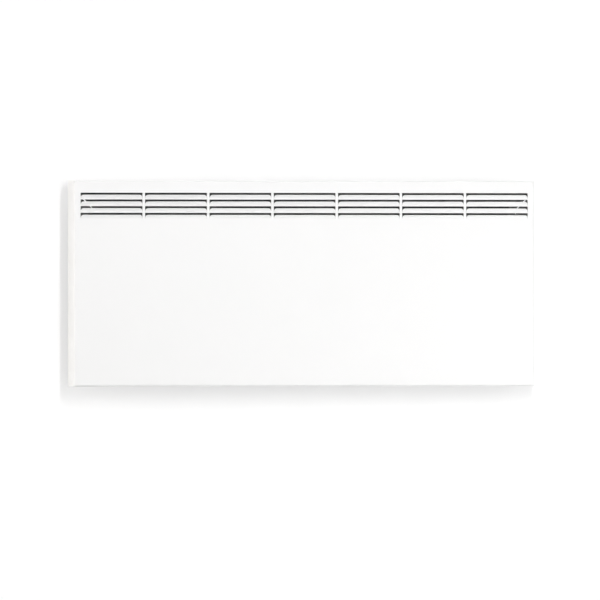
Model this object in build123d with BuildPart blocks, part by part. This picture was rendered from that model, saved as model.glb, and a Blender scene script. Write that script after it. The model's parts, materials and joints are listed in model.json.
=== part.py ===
from build123d import *

import os
from math import cos, radians, sin, sqrt, tan

# A wall panel convector heater: a flat white steel case with a louvred warm-air outlet along the top
# of its front, hung on a wall bracket that lets it lean forward.
# Millimetres. The wall is the plane y = 0, the heater's front looks along -Y, +X is to the right and
# +Z is up. The origin is the middle of the bracket's four wall holes.

# ------------------------------------------------------------------ case
CASE_WIDTH = 912.0
CASE_HEIGHT = 400.0
CASE_DEPTH = 64.0
WALL_GAP = 22.0
SHEET = 1.0
BEND_RADIUS = 4.0
RETURN_FLANGE = 12.0
PLATE_INSET = 3.0
CASE_SCREW_MARGIN = 50.0
CASE_SCREW_LENGTH = 9.0

# ------------------------------------------------------------------ warm-air outlet
SLOTS_PER_ROW = 7
ROW_COUNT = 4
ROW_PITCH = 13.0
FIRST_ROW_DROP = 25.6
GRILLE_MARGIN = 14.0
MULLION = 5.2
GAP_HEIGHT = 3.8
BLADE_RISE = 7.4
BLADE_ANGLE = 35.0
BLADE_END_GAP = 0.3
BLADE_CORNER = 5.5

# ------------------------------------------------------------------ cold-air inlet, in the bottom wall
INTAKE_LENGTH = 96.0
INTAKE_WIDTH = 14.0
INTAKE_ROW_PITCH = 26.0
INTAKE_ROWS = 2

# ------------------------------------------------------------------ inner sheets
INNER_SHEET = 0.8
LINER_GAP = 0.3
GUIDE_FOOT_DROP = 80.0
GUIDE_FOOT = 14.0
GUIDE_TOP_LIP = 14.0
GUIDE_FRONT_GAP = 4.6
GUIDE_END_GAP = 3.0
GUIDE_RIVET_MARGIN = 40.0
GUIDE_BEND = 2.0
DEFLECTOR_DROP_LEFT = 18.0
DEFLECTOR_DROP_RIGHT = 21.4
DEFLECTOR_REACH = 36.0
DEFLECTOR_TAIL = 8.0
DEFLECTOR_DEPTH = 20.0
DEFLECTOR_HEM = 6.0
DEFLECTOR_TOP_GAP = 3.0
DEFLECTOR_BEND = 1.5
SHIELD_STANDOFF = 6.0
SHIELD_TOP_DROP = 95.0
SHIELD_BOTTOM_RISE = 50.0
SHIELD_MARGIN = 10.0
SHIELD_SPOT_INSET_X = 30.0
SHIELD_SPOT_INSET_Z = 20.0
SHIELD_SCREW_RADIUS = 1.5
SPACER_RADIUS = 4.0
COMPARTMENT_WIDTH = 55.0
COMPARTMENT_LID_GAP = 4.5
PARTITION_FOOT = 12.0
PARTITION_FOOT_GAP = 4.0
PARTITION_SCREW_RISE = 35.0
PARTITION_SCREW_DROP = 20.0

# ------------------------------------------------------------------ heating element
ELEMENT_LEFT_MARGIN = 64.0
ELEMENT_RIGHT_MARGIN = 70.0
ELEMENT_RISE = 105.0
ELEMENT_SETBACK = 30.0
FIN_REACH = 30.0
FIN_THICKNESS = 1.6
FIN_TICK = 9.0
FIN_TICK_INSETS = (12.0, 5.0)
ELEMENT_CORE_RADIUS = 9.0
ROD_RADIUS = 6.0
ROD_OVERHANG = 26.0
SUPPORT_SHEET = 1.2
SUPPORT_HEIGHT = 64.0
SUPPORT_FOOT = 16.0
SUPPORT_REACH = 14.0
BUSH_RADIUS = 9.0
BUSH_COLLAR = 3.0
BUSH_LENGTH = 10.0
BEAD_LENGTH = 8.0
TERMINAL_RADIUS = 1.5
TERMINAL_LENGTH = 16.0
CUTOUT_INSET = 101.0
CUTOUT_RISE = 155.0
CUTOUT_SCREW_RISE = 17.0
CUTOUT_SETBACK = 25.0
CUTOUT_RADIUS = 8.0
CUTOUT_TAB_SPREAD = 10.0

# ------------------------------------------------------------------ controls, in the right side wall
POCKET_WIDTH = 44.0
POCKET_HEIGHT = 110.0
POCKET_DEPTH = 14.0
POCKET_WALL = 1.5
POCKET_DROP = 150.0
POCKET_CORNER = 5.0
KNOB_RADIUS = 15.0
KNOB_OFFSET = 28.0
SPINDLE_RADIUS = 3.0
THERMOSTAT_SIZE = 32.0
THERMOSTAT_DEPTH = 20.0
LAMP_OFFSET = -4.0
LAMP_RADIUS = 3.0
SWITCH_OFFSET = -32.0
SWITCH_LENGTH = 22.0
SWITCH_WIDTH = 12.6
SWITCH_DEPTH = 26.0
SWITCH_WALL = 1.4
ROCKER_TILT = 7.0
STUD_RADIUS = 1.5
STUD_LENGTH = 8.0
STUD_SPREAD = 16.0
STUD_NUT_HEIGHT = 2.4
STUD_NUT_SIZE = 5.5
FLANGE_END = 7.0
FLANGE_SIDE = 3.0

# ------------------------------------------------------------------ wiring
LEAD_RADIUS = 1.2
WIDE_BEND = 40.0
GROMMET_BEND = 5.0
BLOCK_WIDTH = 30.0
BLOCK_HEIGHT = 20.0
BLOCK_DEPTH = 18.0
BLOCK_RISE = 60.0
BLOCK_INSET = 28.0
EARTH_RISE = 55.0
EARTH_STUD_RADIUS = 2.0
EARTH_STUD_LENGTH = 10.0
POLE_PITCH = 10.0
INLET_BORE_RADIUS = 4.2
INLET_NECK_RADIUS = 8.0
INLET_RISE = 28.0
LEAD_RUN_RISE = 32.0
CLIP_COUNT = 4
CLIP_LENGTH = 8.0

# ------------------------------------------------------------------ wall bracket
HANGER_SPACING = 500.0
WALL_HOLE_SPACING_Z = 200.0
WALL_HOLE_RADIUS = 3.25
BRACKET_SHEET = 1.5
CHANNEL_WIDTH = 40.0
CHANNEL_TOP_DROP = 50.0
RAIL_HEIGHT = 30.0
RAIL_WINDOW_PITCH = 100.0
RAIL_WINDOW_LENGTH = 60.0
RAIL_WINDOWS = 4
RAIL_TAB_DEPTH = 18.0
RAIL_RIVET_PITCH = 16.0
RAIL_DROP = 100.0
RAIL_RISE = 115.0
PAD_THICKNESS = 2.0
PAD_LENGTH = 24.0
PAD_DROP = 66.0
PAD_STEM = 6.0

# ------------------------------------------------------------------ hinge and latches
PIVOT_RISE = 35.0
PIVOT_SETBACK = 9.0
PIN_RADIUS = 3.0
HOOK_LIFT = 14.0
HINGE_RIVET_RISE = 20.0
HINGE_RIVET_STEP = 8.0
LUG_HALF_SPACING = 16.0
LUG_RADIUS = 6.0
KEEPER_DROP = 31.0
KEEPER_HALF_WIDTH = 12.0
KEEPER_RIVET_DROP = 14.0
KEEPER_RIVET_STEP = 6.0
RIVET_EDGE = 6.0
KEEPER_LIP = 11.0
KEEPER_REACH = 13.0
LATCH_TRAVEL = 9.0
LATCH_STUD_DROP = 15.0
LATCH_STUD_RADIUS = 2.6
LATCH_LEG = 4.5
LATCH_CLEAR = 3.0
LATCH_BRIDGE = 8.0
LATCH_RISE = 28.0
LATCH_THUMB_REACH = 6.0
LATCH_THUMB_HEIGHT = 3.0

# ------------------------------------------------------------------ fits and fasteners
RUNNING_FIT = 0.08
PRESS_GAP = 0.05
SIDE_PLAY = 0.3
SCREW_RADIUS = 1.7
SCREW_HEAD_RADIUS = 3.5
SCREW_HEAD_HEIGHT = 2.0
RIVET_RADIUS = 1.6
RIVET_HEAD_RADIUS = 3.2
RIVET_HEAD_HEIGHT = 1.2

# ------------------------------------------------------------------ planes that the pieces share
HALF_WIDTH = CASE_WIDTH / 2
HALF_HEIGHT = CASE_HEIGHT / 2
PLATE_REAR_Y = -WALL_GAP
PLATE_FRONT_Y = PLATE_REAR_Y - SHEET
FRONT_Y = PLATE_FRONT_Y - CASE_DEPTH
LINER_Y = FRONT_Y + SHEET
MIDDLE_Y = (LINER_Y + PLATE_FRONT_Y) / 2
INNER_BEND = BEND_RADIUS - SHEET
INNER_X = HALF_WIDTH - SHEET
INNER_Z = HALF_HEIGHT - SHEET
PARTITION_X = HALF_WIDTH - COMPARTMENT_WIDTH
POCKET_Y = MIDDLE_Y
POCKET_Z = HALF_HEIGHT - POCKET_DROP
pocket_outer_width = POCKET_WIDTH + 2 * POCKET_WALL
pocket_outer_height = POCKET_HEIGHT + 2 * POCKET_WALL
COMPARTMENT_TOP = POCKET_Z + pocket_outer_height / 2 + FLANGE_END + COMPARTMENT_LID_GAP
HANGER_X = HANGER_SPACING / 2
PIVOT_Y = PLATE_REAR_Y + PIVOT_SETBACK
PIVOT_Z = -HALF_HEIGHT + PIVOT_RISE
CHANNEL_TOP = HALF_HEIGHT - CHANNEL_TOP_DROP
KEEPER_Z = CHANNEL_TOP - KEEPER_DROP
LATCH_STUD_Z = CHANNEL_TOP - LATCH_STUD_DROP

os.makedirs("parts", exist_ok=True)


def save(piece, name):
    """Write one finished sub-part under its own name."""
    piece.part.label = name
    export_step(piece.part, f"parts/{name}.step")


def block(x_range, y_range, z_range, mode=Mode.ADD):
    """Straight-sided block between two corners, in the open part."""
    middle = [(low + high) / 2 for low, high in (x_range, y_range, z_range)]
    size = [high - low for low, high in (x_range, y_range, z_range)]
    with Locations(tuple(middle)):
        Box(*size, mode=mode)


def rod(start, end, radius, mode=Mode.ADD):
    """Round rod between two points of the open part."""
    axis = Vector(*end) - Vector(*start)
    with BuildSketch(Plane(origin=start, z_dir=axis)) as section:
        Circle(radius)
    extrude(section.sketch, amount=axis.length, mode=mode)


def bore(start, end, radius):
    """Round hole between two points of the open part."""
    rod(start, end, radius, Mode.SUBTRACT)


def hexagon(start, end, across_flats):
    """Six-sided bar between two points of the open part."""
    axis = Vector(*end) - Vector(*start)
    with BuildSketch(Plane(origin=start, z_dir=axis)) as section:
        RegularPolygon(across_flats / 2, 6, major_radius=False)
    extrude(section.sketch, amount=axis.length)


def rivet(x, z, rear_y, front_y):
    """Rivet along Y with a flat head at both ends."""
    rod((x, rear_y, z), (x, front_y, z), RIVET_RADIUS)
    rod((x, rear_y, z), (x, rear_y + RIVET_HEAD_HEIGHT, z), RIVET_HEAD_RADIUS)
    rod((x, front_y, z), (x, front_y - RIVET_HEAD_HEIGHT, z), RIVET_HEAD_RADIUS)


def screw(x, z, head_y, tip_y):
    """Pan head screw along Y whose head sits on the face at head_y."""
    out = 1 if head_y > tip_y else -1
    rod((x, head_y, z), (x, tip_y, z), SCREW_RADIUS)
    rod((x, head_y, z), (x, head_y + out * SCREW_HEAD_HEIGHT, z), SCREW_HEAD_RADIUS)


def corner_radii(points, limits):
    """Bend radius at each inner point of a lead, as large as its two runs and the room there allow."""
    radii = []
    for before, here, after, limit in zip(points, points[1:], points[2:], limits):
        run_in = Vector(*here) - Vector(*before)
        run_out = Vector(*after) - Vector(*here)
        half_turn = radians(run_in.get_angle(run_out) / 2)
        radii.append(min(limit, 0.45 * min(run_in.length, run_out.length) / tan(half_turn)))
    return radii


def lead(name, points, limits, radius=LEAD_RADIUS):
    """Insulated wire along a route of straight runs and round bends."""
    radii = corner_radii(points, limits)
    print(name, "bend radii", [round(value, 1) for value in radii])
    with BuildPart() as wire:
        with BuildLine() as route:
            FilletPolyline(*points, radius=radii)
        with BuildSketch(Plane(origin=points[0], z_dir=Vector(*points[1]) - Vector(*points[0]))):
            Circle(radius)
        sweep(path=route.line)
    save(wire, name)


# ------------------------------------------------------------------ front cover
slot_length = (CASE_WIDTH - 2 * GRILLE_MARGIN - (SLOTS_PER_ROW - 1) * MULLION) / SLOTS_PER_ROW
slot_pitch = slot_length + MULLION
grille_middle_z = HALF_HEIGHT - FIRST_ROW_DROP - (ROW_COUNT - 1) * ROW_PITCH / 2
blade_foot_z = -GAP_HEIGHT / 2 - BLADE_RISE


def louvre_blade():
    """One tab of the outlet, its gap's middle at z = 0. It leaves the sheet at its foot and bends out."""
    back_radius = BLADE_RISE / sin(radians(BLADE_ANGLE))
    front_radius = back_radius - SHEET
    bend_centre = (FRONT_Y - front_radius, blade_foot_z)
    half_length = slot_length / 2 - BLADE_END_GAP
    with BuildPart() as tab:
        with BuildSketch(Plane.YZ.offset(-half_length)):
            with BuildLine():
                front = CenterArc(bend_centre, front_radius, 0, BLADE_ANGLE)
                back = CenterArc(bend_centre, back_radius, 0, BLADE_ANGLE)
                Line(front @ 0, back @ 0)
                Line(front @ 1, back @ 1)
            make_face()
        extrude(amount=2 * half_length)
        with BuildSketch(Plane.XZ) as outline:
            with Locations((0, blade_foot_z + BLADE_RISE / 2)):
                Rectangle(2 * half_length, BLADE_RISE)
            fillet(outline.vertices().group_by(Axis.Y)[-1], BLADE_CORNER)
        extrude(amount=2 * CASE_DEPTH + WALL_GAP, mode=Mode.INTERSECT)
    return tab.part


def case_screw_spots():
    """Where the back plate is screwed to the cover's return flanges."""
    edge_x = HALF_WIDTH - RETURN_FLANGE / 2
    edge_z = HALF_HEIGHT - RETURN_FLANGE / 2
    step_x = (HALF_WIDTH - CASE_SCREW_MARGIN) / 2
    spots = [(share * step_x, side * edge_z) for side in (-1, 1) for share in range(-2, 3)]
    return spots + [(-edge_x, -HALF_HEIGHT / 4), (edge_x, -HALF_HEIGHT / 4)]


blade = louvre_blade()
with BuildPart() as front_cover:
    block((-HALF_WIDTH, HALF_WIDTH), (FRONT_Y, PLATE_FRONT_Y), (-HALF_HEIGHT, HALF_HEIGHT))
    fillet(front_cover.faces().sort_by(Axis.Y)[0].edges(), BEND_RADIUS)
    with BuildPart(mode=Mode.PRIVATE) as hollow:
        block((-INNER_X, INNER_X), (LINER_Y, PLATE_FRONT_Y - SHEET), (-INNER_Z, INNER_Z))
        fillet(hollow.faces().sort_by(Axis.Y)[0].edges(), INNER_BEND)
    add(hollow.part, mode=Mode.SUBTRACT)
    mouth_x = HALF_WIDTH - RETURN_FLANGE
    mouth_z = HALF_HEIGHT - RETURN_FLANGE
    block((-mouth_x, mouth_x), (PLATE_FRONT_Y - SHEET, PLATE_FRONT_Y), (-mouth_z, mouth_z), Mode.SUBTRACT)
    # The outlet's windows, then the tab that stays in each of them.
    with BuildSketch(Plane.XZ.offset(-LINER_Y)):
        with Locations((0, grille_middle_z - BLADE_RISE / 2)):
            with GridLocations(slot_pitch, ROW_PITCH, SLOTS_PER_ROW, ROW_COUNT):
                Rectangle(slot_length, GAP_HEIGHT + BLADE_RISE)
    extrude(amount=SHEET, mode=Mode.SUBTRACT)
    columns = [(index - (SLOTS_PER_ROW - 1) / 2) * slot_pitch for index in range(SLOTS_PER_ROW)]
    rows = [grille_middle_z + (index - (ROW_COUNT - 1) / 2) * ROW_PITCH for index in range(ROW_COUNT)]
    with Locations(*[(x, 0, z) for z in rows for x in columns]):
        add(blade)
    # Cold-air slots in the bottom wall.
    with BuildSketch(Plane.XY.offset(-HALF_HEIGHT)):
        with Locations((0, MIDDLE_Y)):
            with GridLocations(slot_pitch, INTAKE_ROW_PITCH, SLOTS_PER_ROW, INTAKE_ROWS):
                SlotOverall(INTAKE_LENGTH, INTAKE_WIDTH)
    extrude(amount=SHEET, mode=Mode.SUBTRACT)
    # The controls' opening in the right side wall.
    with BuildSketch(Plane.YZ.offset(INNER_X)):
        with Locations((POCKET_Y, POCKET_Z)):
            RectangleRounded(
                pocket_outer_width + 2 * SIDE_PLAY,
                pocket_outer_height + 2 * SIDE_PLAY,
                POCKET_CORNER + POCKET_WALL + SIDE_PLAY,
            )
    extrude(amount=SHEET, mode=Mode.SUBTRACT)
    for x, z in case_screw_spots():
        bore((x, PLATE_FRONT_Y, z), (x, PLATE_FRONT_Y - SHEET, z), SCREW_RADIUS + PRESS_GAP)
save(front_cover, "front_cover")

# ------------------------------------------------------------------ places on the back plate
HINGE_RIVET_Z = PIVOT_Z + HINGE_RIVET_RISE
KEEPER_RIVET_Z = KEEPER_Z - KEEPER_RIVET_DROP
element_x = (-INNER_X + ELEMENT_LEFT_MARGIN, PARTITION_X - ELEMENT_RIGHT_MARGIN)
element_length = element_x[1] - element_x[0]
element_middle_x = (element_x[0] + element_x[1]) / 2
ELEMENT_Y = PLATE_FRONT_Y - ELEMENT_SETBACK
ELEMENT_Z = -HALF_HEIGHT + ELEMENT_RISE
support_distance = element_length / 2 + ROD_OVERHANG / 2
CUTOUT_X = PARTITION_X - CUTOUT_INSET
CUTOUT_Y = PLATE_FRONT_Y - CUTOUT_SETBACK
CUTOUT_Z = -HALF_HEIGHT + CUTOUT_RISE
GUIDE_FOOT_Z = HALF_HEIGHT - GUIDE_FOOT_DROP
guide_half_length = INNER_X - DEFLECTOR_REACH - GUIDE_END_GAP
BLOCK_X = PARTITION_X + BLOCK_INSET
BLOCK_Z = -HALF_HEIGHT + BLOCK_RISE
INLET_X = BLOCK_X
INLET_Z = -HALF_HEIGHT + INLET_RISE
EARTH_X = BLOCK_X + POLE_PITCH
EARTH_Z = BLOCK_Z + EARTH_RISE


def hinge_rivet_spots():
    """Two rivets in each hinge bracket."""
    steps = (-HINGE_RIVET_STEP, HINGE_RIVET_STEP)
    return [(side * HANGER_X + step, HINGE_RIVET_Z) for side in (-1, 1) for step in steps]


def keeper_rivet_spots():
    """Two rivets in each keeper."""
    steps = (-KEEPER_RIVET_STEP, KEEPER_RIVET_STEP)
    return [(side * HANGER_X + step, KEEPER_RIVET_Z) for side in (-1, 1) for step in steps]


def guide_rivet_spots():
    """Rivets along the air guide's foot."""
    foot_z = GUIDE_FOOT_Z + GUIDE_FOOT / 2
    return [(share * (guide_half_length - GUIDE_RIVET_MARGIN) / 2, foot_z) for share in range(-2, 3)]


def support_screw_spots():
    """Two screws in the foot of each element support."""
    foot_x = support_distance + SUPPORT_FOOT / 2
    return [
        (element_middle_x + side * foot_x, ELEMENT_Z + step)
        for side in (-1, 1)
        for step in (-SUPPORT_HEIGHT / 3, SUPPORT_HEIGHT / 3)
    ]


def partition_screw_spots():
    """Three screws in the partition's foot."""
    low_z = -HALF_HEIGHT + PARTITION_SCREW_RISE
    high_z = COMPARTMENT_TOP - PARTITION_SCREW_DROP
    foot_x = PARTITION_X - (PARTITION_FOOT + SHEET / 2) / 2
    return [(foot_x, z) for z in (low_z, (low_z + high_z) / 2, high_z)]


CUTOUT_SCREW = (CUTOUT_X, CUTOUT_Z + CUTOUT_SCREW_RISE)
BLOCK_SCREWS = [(BLOCK_X + step, BLOCK_Z) for step in (-POLE_PITCH / 2, POLE_PITCH / 2)]

with BuildPart() as back_plate:
    with BuildSketch(Plane.XZ.offset(-PLATE_REAR_Y)):
        RectangleRounded(CASE_WIDTH - 2 * PLATE_INSET, CASE_HEIGHT - 2 * PLATE_INSET, PLATE_INSET)
        with Locations(*case_screw_spots()):
            Circle(SCREW_RADIUS + PRESS_GAP, mode=Mode.SUBTRACT)
        with Locations(*hinge_rivet_spots(), *keeper_rivet_spots(), *guide_rivet_spots()):
            Circle(RIVET_RADIUS + PRESS_GAP, mode=Mode.SUBTRACT)
        with Locations(*support_screw_spots(), *partition_screw_spots(), CUTOUT_SCREW, *BLOCK_SCREWS):
            Circle(SCREW_RADIUS + PRESS_GAP, mode=Mode.SUBTRACT)
        with Locations((INLET_X, INLET_Z)):
            Circle(INLET_NECK_RADIUS + PRESS_GAP, mode=Mode.SUBTRACT)
        with Locations((EARTH_X, EARTH_Z)):
            Circle(EARTH_STUD_RADIUS + PRESS_GAP, mode=Mode.SUBTRACT)
    extrude(amount=SHEET)
save(back_plate, "back_plate")

with BuildPart() as case_screws:
    for x, z in case_screw_spots():
        screw(x, z, PLATE_REAR_Y, PLATE_REAR_Y - CASE_SCREW_LENGTH)
save(case_screws, "case_screws")


# ------------------------------------------------------------------ inner sheets
def strip_profile(points, thickness, bend):
    """Closed outline of a folded strip, given the middle line of its sheet."""
    with BuildLine() as middle_line:
        FilletPolyline(*points, radius=bend)
    trace(middle_line.line.edges(), thickness)


with BuildPart() as air_guide:
    foot_y = PLATE_FRONT_Y - INNER_SHEET / 2
    lip_z = INNER_Z - INNER_SHEET / 2
    guide_front_y = LINER_Y + GUIDE_FRONT_GAP
    with BuildSketch(Plane.YZ.offset(-guide_half_length)):
        strip_profile(
            [
                (foot_y, GUIDE_FOOT_Z),
                (foot_y, GUIDE_FOOT_Z + GUIDE_FOOT),
                (guide_front_y + GUIDE_TOP_LIP, lip_z),
                (guide_front_y, lip_z),
            ],
            INNER_SHEET,
            GUIDE_BEND,
        )
    extrude(amount=2 * guide_half_length)
    for x, z in guide_rivet_spots():
        bore((x, PLATE_FRONT_Y, z), (x, PLATE_FRONT_Y - 2, z), RIVET_RADIUS + PRESS_GAP)
save(air_guide, "air_guide")


def end_deflector(side, drop, name):
    """Sheet that turns warm air away from one side wall: a flange on it, a 45 degree leg, a short tail."""
    wall_x = side * (INNER_X - INNER_SHEET / 2)
    leg_top_z = HALF_HEIGHT - drop
    knee_x = wall_x - side * DEFLECTOR_REACH
    knee_z = leg_top_z - DEFLECTOR_REACH
    front_plane = Plane.XZ.offset(-LINER_Y - INNER_BEND)
    with BuildPart() as sheet:
        with BuildSketch(front_plane):
            strip_profile(
                [
                    (wall_x, INNER_Z - DEFLECTOR_TOP_GAP),
                    (wall_x, leg_top_z),
                    (knee_x, knee_z),
                    (knee_x, knee_z - DEFLECTOR_TAIL),
                ],
                INNER_SHEET,
                DEFLECTOR_BEND,
            )
        extrude(amount=-DEFLECTOR_DEPTH)
        # The leg's front edge is folded back flat on its upper side, between the two bends.
        fold = 1.5 * INNER_SHEET / sqrt(2)
        with BuildSketch(front_plane):
            with BuildLine():
                Polyline(
                    (wall_x - side * DEFLECTOR_BEND, leg_top_z - DEFLECTOR_BEND),
                    (knee_x + side * DEFLECTOR_BEND, knee_z + DEFLECTOR_BEND),
                    (knee_x + side * (DEFLECTOR_BEND - fold), knee_z + DEFLECTOR_BEND + fold),
                    (wall_x - side * (DEFLECTOR_BEND + fold), leg_top_z - DEFLECTOR_BEND + fold),
                    close=True,
                )
            make_face()
        extrude(amount=-DEFLECTOR_HEM)
    save(sheet, name)


end_deflector(-1, DEFLECTOR_DROP_LEFT, "end_deflector_left")
end_deflector(1, DEFLECTOR_DROP_RIGHT, "end_deflector_right")

shield_x = (-INNER_X + SHIELD_MARGIN, PARTITION_X - SHIELD_MARGIN)
shield_z = (-HALF_HEIGHT + SHIELD_BOTTOM_RISE, HALF_HEIGHT - SHIELD_TOP_DROP)
SHIELD_Y = LINER_Y + SHIELD_STANDOFF


def shield_spots():
    """Six fixings of the heat shield."""
    middle_x = (shield_x[0] + shield_x[1]) / 2
    reach_x = (shield_x[1] - shield_x[0]) / 2 - SHIELD_SPOT_INSET_X
    heights = (shield_z[0] + SHIELD_SPOT_INSET_Z, shield_z[1] - SHIELD_SPOT_INSET_Z)
    return [(middle_x + share * reach_x, z) for share in (-1, 0, 1) for z in heights]


with BuildPart() as heat_shield:
    block(shield_x, (SHIELD_Y, SHIELD_Y + INNER_SHEET), shield_z)
    for x, z in shield_spots():
        bore((x, SHIELD_Y, z), (x, SHIELD_Y + 2, z), SHIELD_SCREW_RADIUS + PRESS_GAP)
save(heat_shield, "heat_shield")

with BuildPart() as shield_spacers:
    for x, z in shield_spots():
        rod((x, LINER_Y, z), (x, SHIELD_Y, z), SPACER_RADIUS)
        bore((x, LINER_Y, z), (x, SHIELD_Y, z), SHIELD_SCREW_RADIUS + PRESS_GAP)
save(shield_spacers, "shield_spacers")

with BuildPart() as shield_screws:
    shield_rear_y = SHIELD_Y + INNER_SHEET
    for x, z in shield_spots():
        rod((x, shield_rear_y, z), (x, LINER_Y + 1, z), SHIELD_SCREW_RADIUS)
        rod((x, shield_rear_y, z), (x, shield_rear_y + 1.5, z), SPACER_RADIUS)
save(shield_screws, "shield_screws")

# ------------------------------------------------------------------ partition round the controls
GROMMET_RADIUS = 6.0
NEUTRAL_Y = PLATE_FRONT_Y - 14
NEUTRAL_Z = BLOCK_Z + BLOCK_HEIGHT / 2 + 18
LIVE_Y = CUTOUT_Y + CUTOUT_TAB_SPREAD / 2
LIVE_Z = CUTOUT_Z + 14
grommet_spots = [(NEUTRAL_Y, NEUTRAL_Z), (LIVE_Y, LIVE_Z)]

with BuildPart() as partition:
    sheet_y = (LINER_Y + INNER_BEND, PLATE_FRONT_Y)
    floor_z = -INNER_Z + LINER_GAP
    half = SHEET / 2
    block((PARTITION_X - half, PARTITION_X + half), sheet_y, (floor_z, COMPARTMENT_TOP))
    block((PARTITION_X - half, INNER_X), sheet_y, (COMPARTMENT_TOP - SHEET, COMPARTMENT_TOP))
    block(
        (PARTITION_X - PARTITION_FOOT, PARTITION_X + half),
        (PLATE_FRONT_Y - SHEET, PLATE_FRONT_Y),
        (-HALF_HEIGHT + RETURN_FLANGE + PARTITION_FOOT_GAP, COMPARTMENT_TOP - PARTITION_FOOT_GAP),
    )
    # The cover's return flanges pass the partition's rear corners at the bottom and beside the lid.
    block(
        (PARTITION_X - SHEET, PARTITION_X + SHEET),
        (PLATE_FRONT_Y - SHEET - LINER_GAP, PLATE_FRONT_Y),
        (-INNER_Z, -HALF_HEIGHT + RETURN_FLANGE + LINER_GAP),
        Mode.SUBTRACT,
    )
    block(
        (HALF_WIDTH - RETURN_FLANGE - LINER_GAP, HALF_WIDTH),
        (PLATE_FRONT_Y - SHEET - LINER_GAP, PLATE_FRONT_Y),
        (COMPARTMENT_TOP - 2 * SHEET, COMPARTMENT_TOP + SHEET),
        Mode.SUBTRACT,
    )
    for y, z in grommet_spots:
        bore((PARTITION_X - SHEET, y, z), (PARTITION_X + SHEET, y, z), GROMMET_RADIUS + PRESS_GAP)
    for x, z in partition_screw_spots():
        bore((x, PLATE_FRONT_Y, z), (x, PLATE_FRONT_Y - 2 * SHEET, z), SCREW_RADIUS + PRESS_GAP)
save(partition, "partition")

with BuildPart() as grommets:
    for y, z in grommet_spots:
        rod((PARTITION_X - half, y, z), (PARTITION_X + half, y, z), GROMMET_RADIUS)
        for out in (-1, 1):
            face_x = PARTITION_X + out * half
            rod((face_x, y, z), (face_x + out * 1.5, y, z), GROMMET_RADIUS + 2)
        bore((PARTITION_X - 4, y, z), (PARTITION_X + 4, y, z), LEAD_RADIUS + 0.3)
save(grommets, "lead_grommets")

# ------------------------------------------------------------------ heating element
with BuildPart() as element_fins:
    with BuildSketch(Plane.YZ.offset(element_x[0])):
        with Locations((ELEMENT_Y, ELEMENT_Z)):
            for turn in (45, -45):
                Rectangle(2 * FIN_REACH, FIN_THICKNESS, rotation=turn)
            for turn in (45, 135, 225, 315):
                with Locations(Location((0, 0), turn)):
                    with Locations(*[(FIN_REACH - inset, 0) for inset in FIN_TICK_INSETS]):
                        Rectangle(FIN_THICKNESS, FIN_TICK)
            Circle(ELEMENT_CORE_RADIUS)
            Circle(ROD_RADIUS + PRESS_GAP, mode=Mode.SUBTRACT)
    extrude(amount=element_length)
save(element_fins, "element_fins")

rod_x = (element_x[0] - ROD_OVERHANG, element_x[1] + ROD_OVERHANG)
with BuildPart() as heating_rod:
    rod((rod_x[0], ELEMENT_Y, ELEMENT_Z), (rod_x[1], ELEMENT_Y, ELEMENT_Z), ROD_RADIUS)
save(heating_rod, "heating_rod")


# Two upright sheets, each with a foot on the back plate, carry the element's ends.
with BuildPart() as element_supports:
    z_range = (ELEMENT_Z - SUPPORT_HEIGHT / 2, ELEMENT_Z + SUPPORT_HEIGHT / 2)
    for side in (-1, 1):
        plate_x = element_middle_x + side * support_distance
        faces = sorted((plate_x - side * SUPPORT_SHEET / 2, plate_x + side * SUPPORT_SHEET / 2))
        foot = sorted((plate_x, plate_x + side * SUPPORT_FOOT))
        block(faces, (ELEMENT_Y - SUPPORT_REACH, PLATE_FRONT_Y), z_range)
        block(foot, (PLATE_FRONT_Y - SUPPORT_SHEET, PLATE_FRONT_Y), z_range)
        bush_hole = BUSH_RADIUS + PRESS_GAP
        bore((plate_x - 5, ELEMENT_Y, ELEMENT_Z), (plate_x + 5, ELEMENT_Y, ELEMENT_Z), bush_hole)
    for x, z in support_screw_spots():
        bore((x, PLATE_FRONT_Y, z), (x, PLATE_FRONT_Y - 2, z), SCREW_RADIUS + PRESS_GAP)
save(element_supports, "element_supports")

with BuildPart() as element_bushes:
    for side in (-1, 1):
        inner_face_x = element_middle_x + side * (support_distance - SUPPORT_SHEET / 2)
        start = (inner_face_x - side * BUSH_COLLAR, ELEMENT_Y, ELEMENT_Z)
        end = (start[0] + side * BUSH_LENGTH, ELEMENT_Y, ELEMENT_Z)
        rod(start, (inner_face_x, ELEMENT_Y, ELEMENT_Z), BUSH_RADIUS + BUSH_COLLAR)
        rod(start, end, BUSH_RADIUS)
        bore(start, end, ROD_RADIUS + RUNNING_FIT)
save(element_bushes, "element_bushes")

with BuildPart() as element_beads:
    for end, out in ((rod_x[0], -1), (rod_x[1], 1)):
        start = (end, ELEMENT_Y, ELEMENT_Z)
        tip = (end + out * BEAD_LENGTH, ELEMENT_Y, ELEMENT_Z)
        rod(start, tip, ROD_RADIUS - 1)
        bore(start, tip, TERMINAL_RADIUS + PRESS_GAP)
save(element_beads, "element_beads")

with BuildPart() as element_terminals:
    for end, out in ((rod_x[0], -1), (rod_x[1], 1)):
        rod((end, ELEMENT_Y, ELEMENT_Z), (end + out * TERMINAL_LENGTH, ELEMENT_Y, ELEMENT_Z), TERMINAL_RADIUS)
save(element_terminals, "element_terminals")

# ------------------------------------------------------------------ overheat cut-out
CUTOUT_FLANGE = 3.0
TAB_WIDTH = 6.3
TAB_THICKNESS = 0.8
CUTOUT_BODY_HEIGHT = 8.0
tab_base_z = CUTOUT_Z + SHEET + CUTOUT_BODY_HEIGHT
tab_y_places = [CUTOUT_Y + CUTOUT_TAB_SPREAD / 2, CUTOUT_Y - CUTOUT_TAB_SPREAD / 2]

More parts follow.
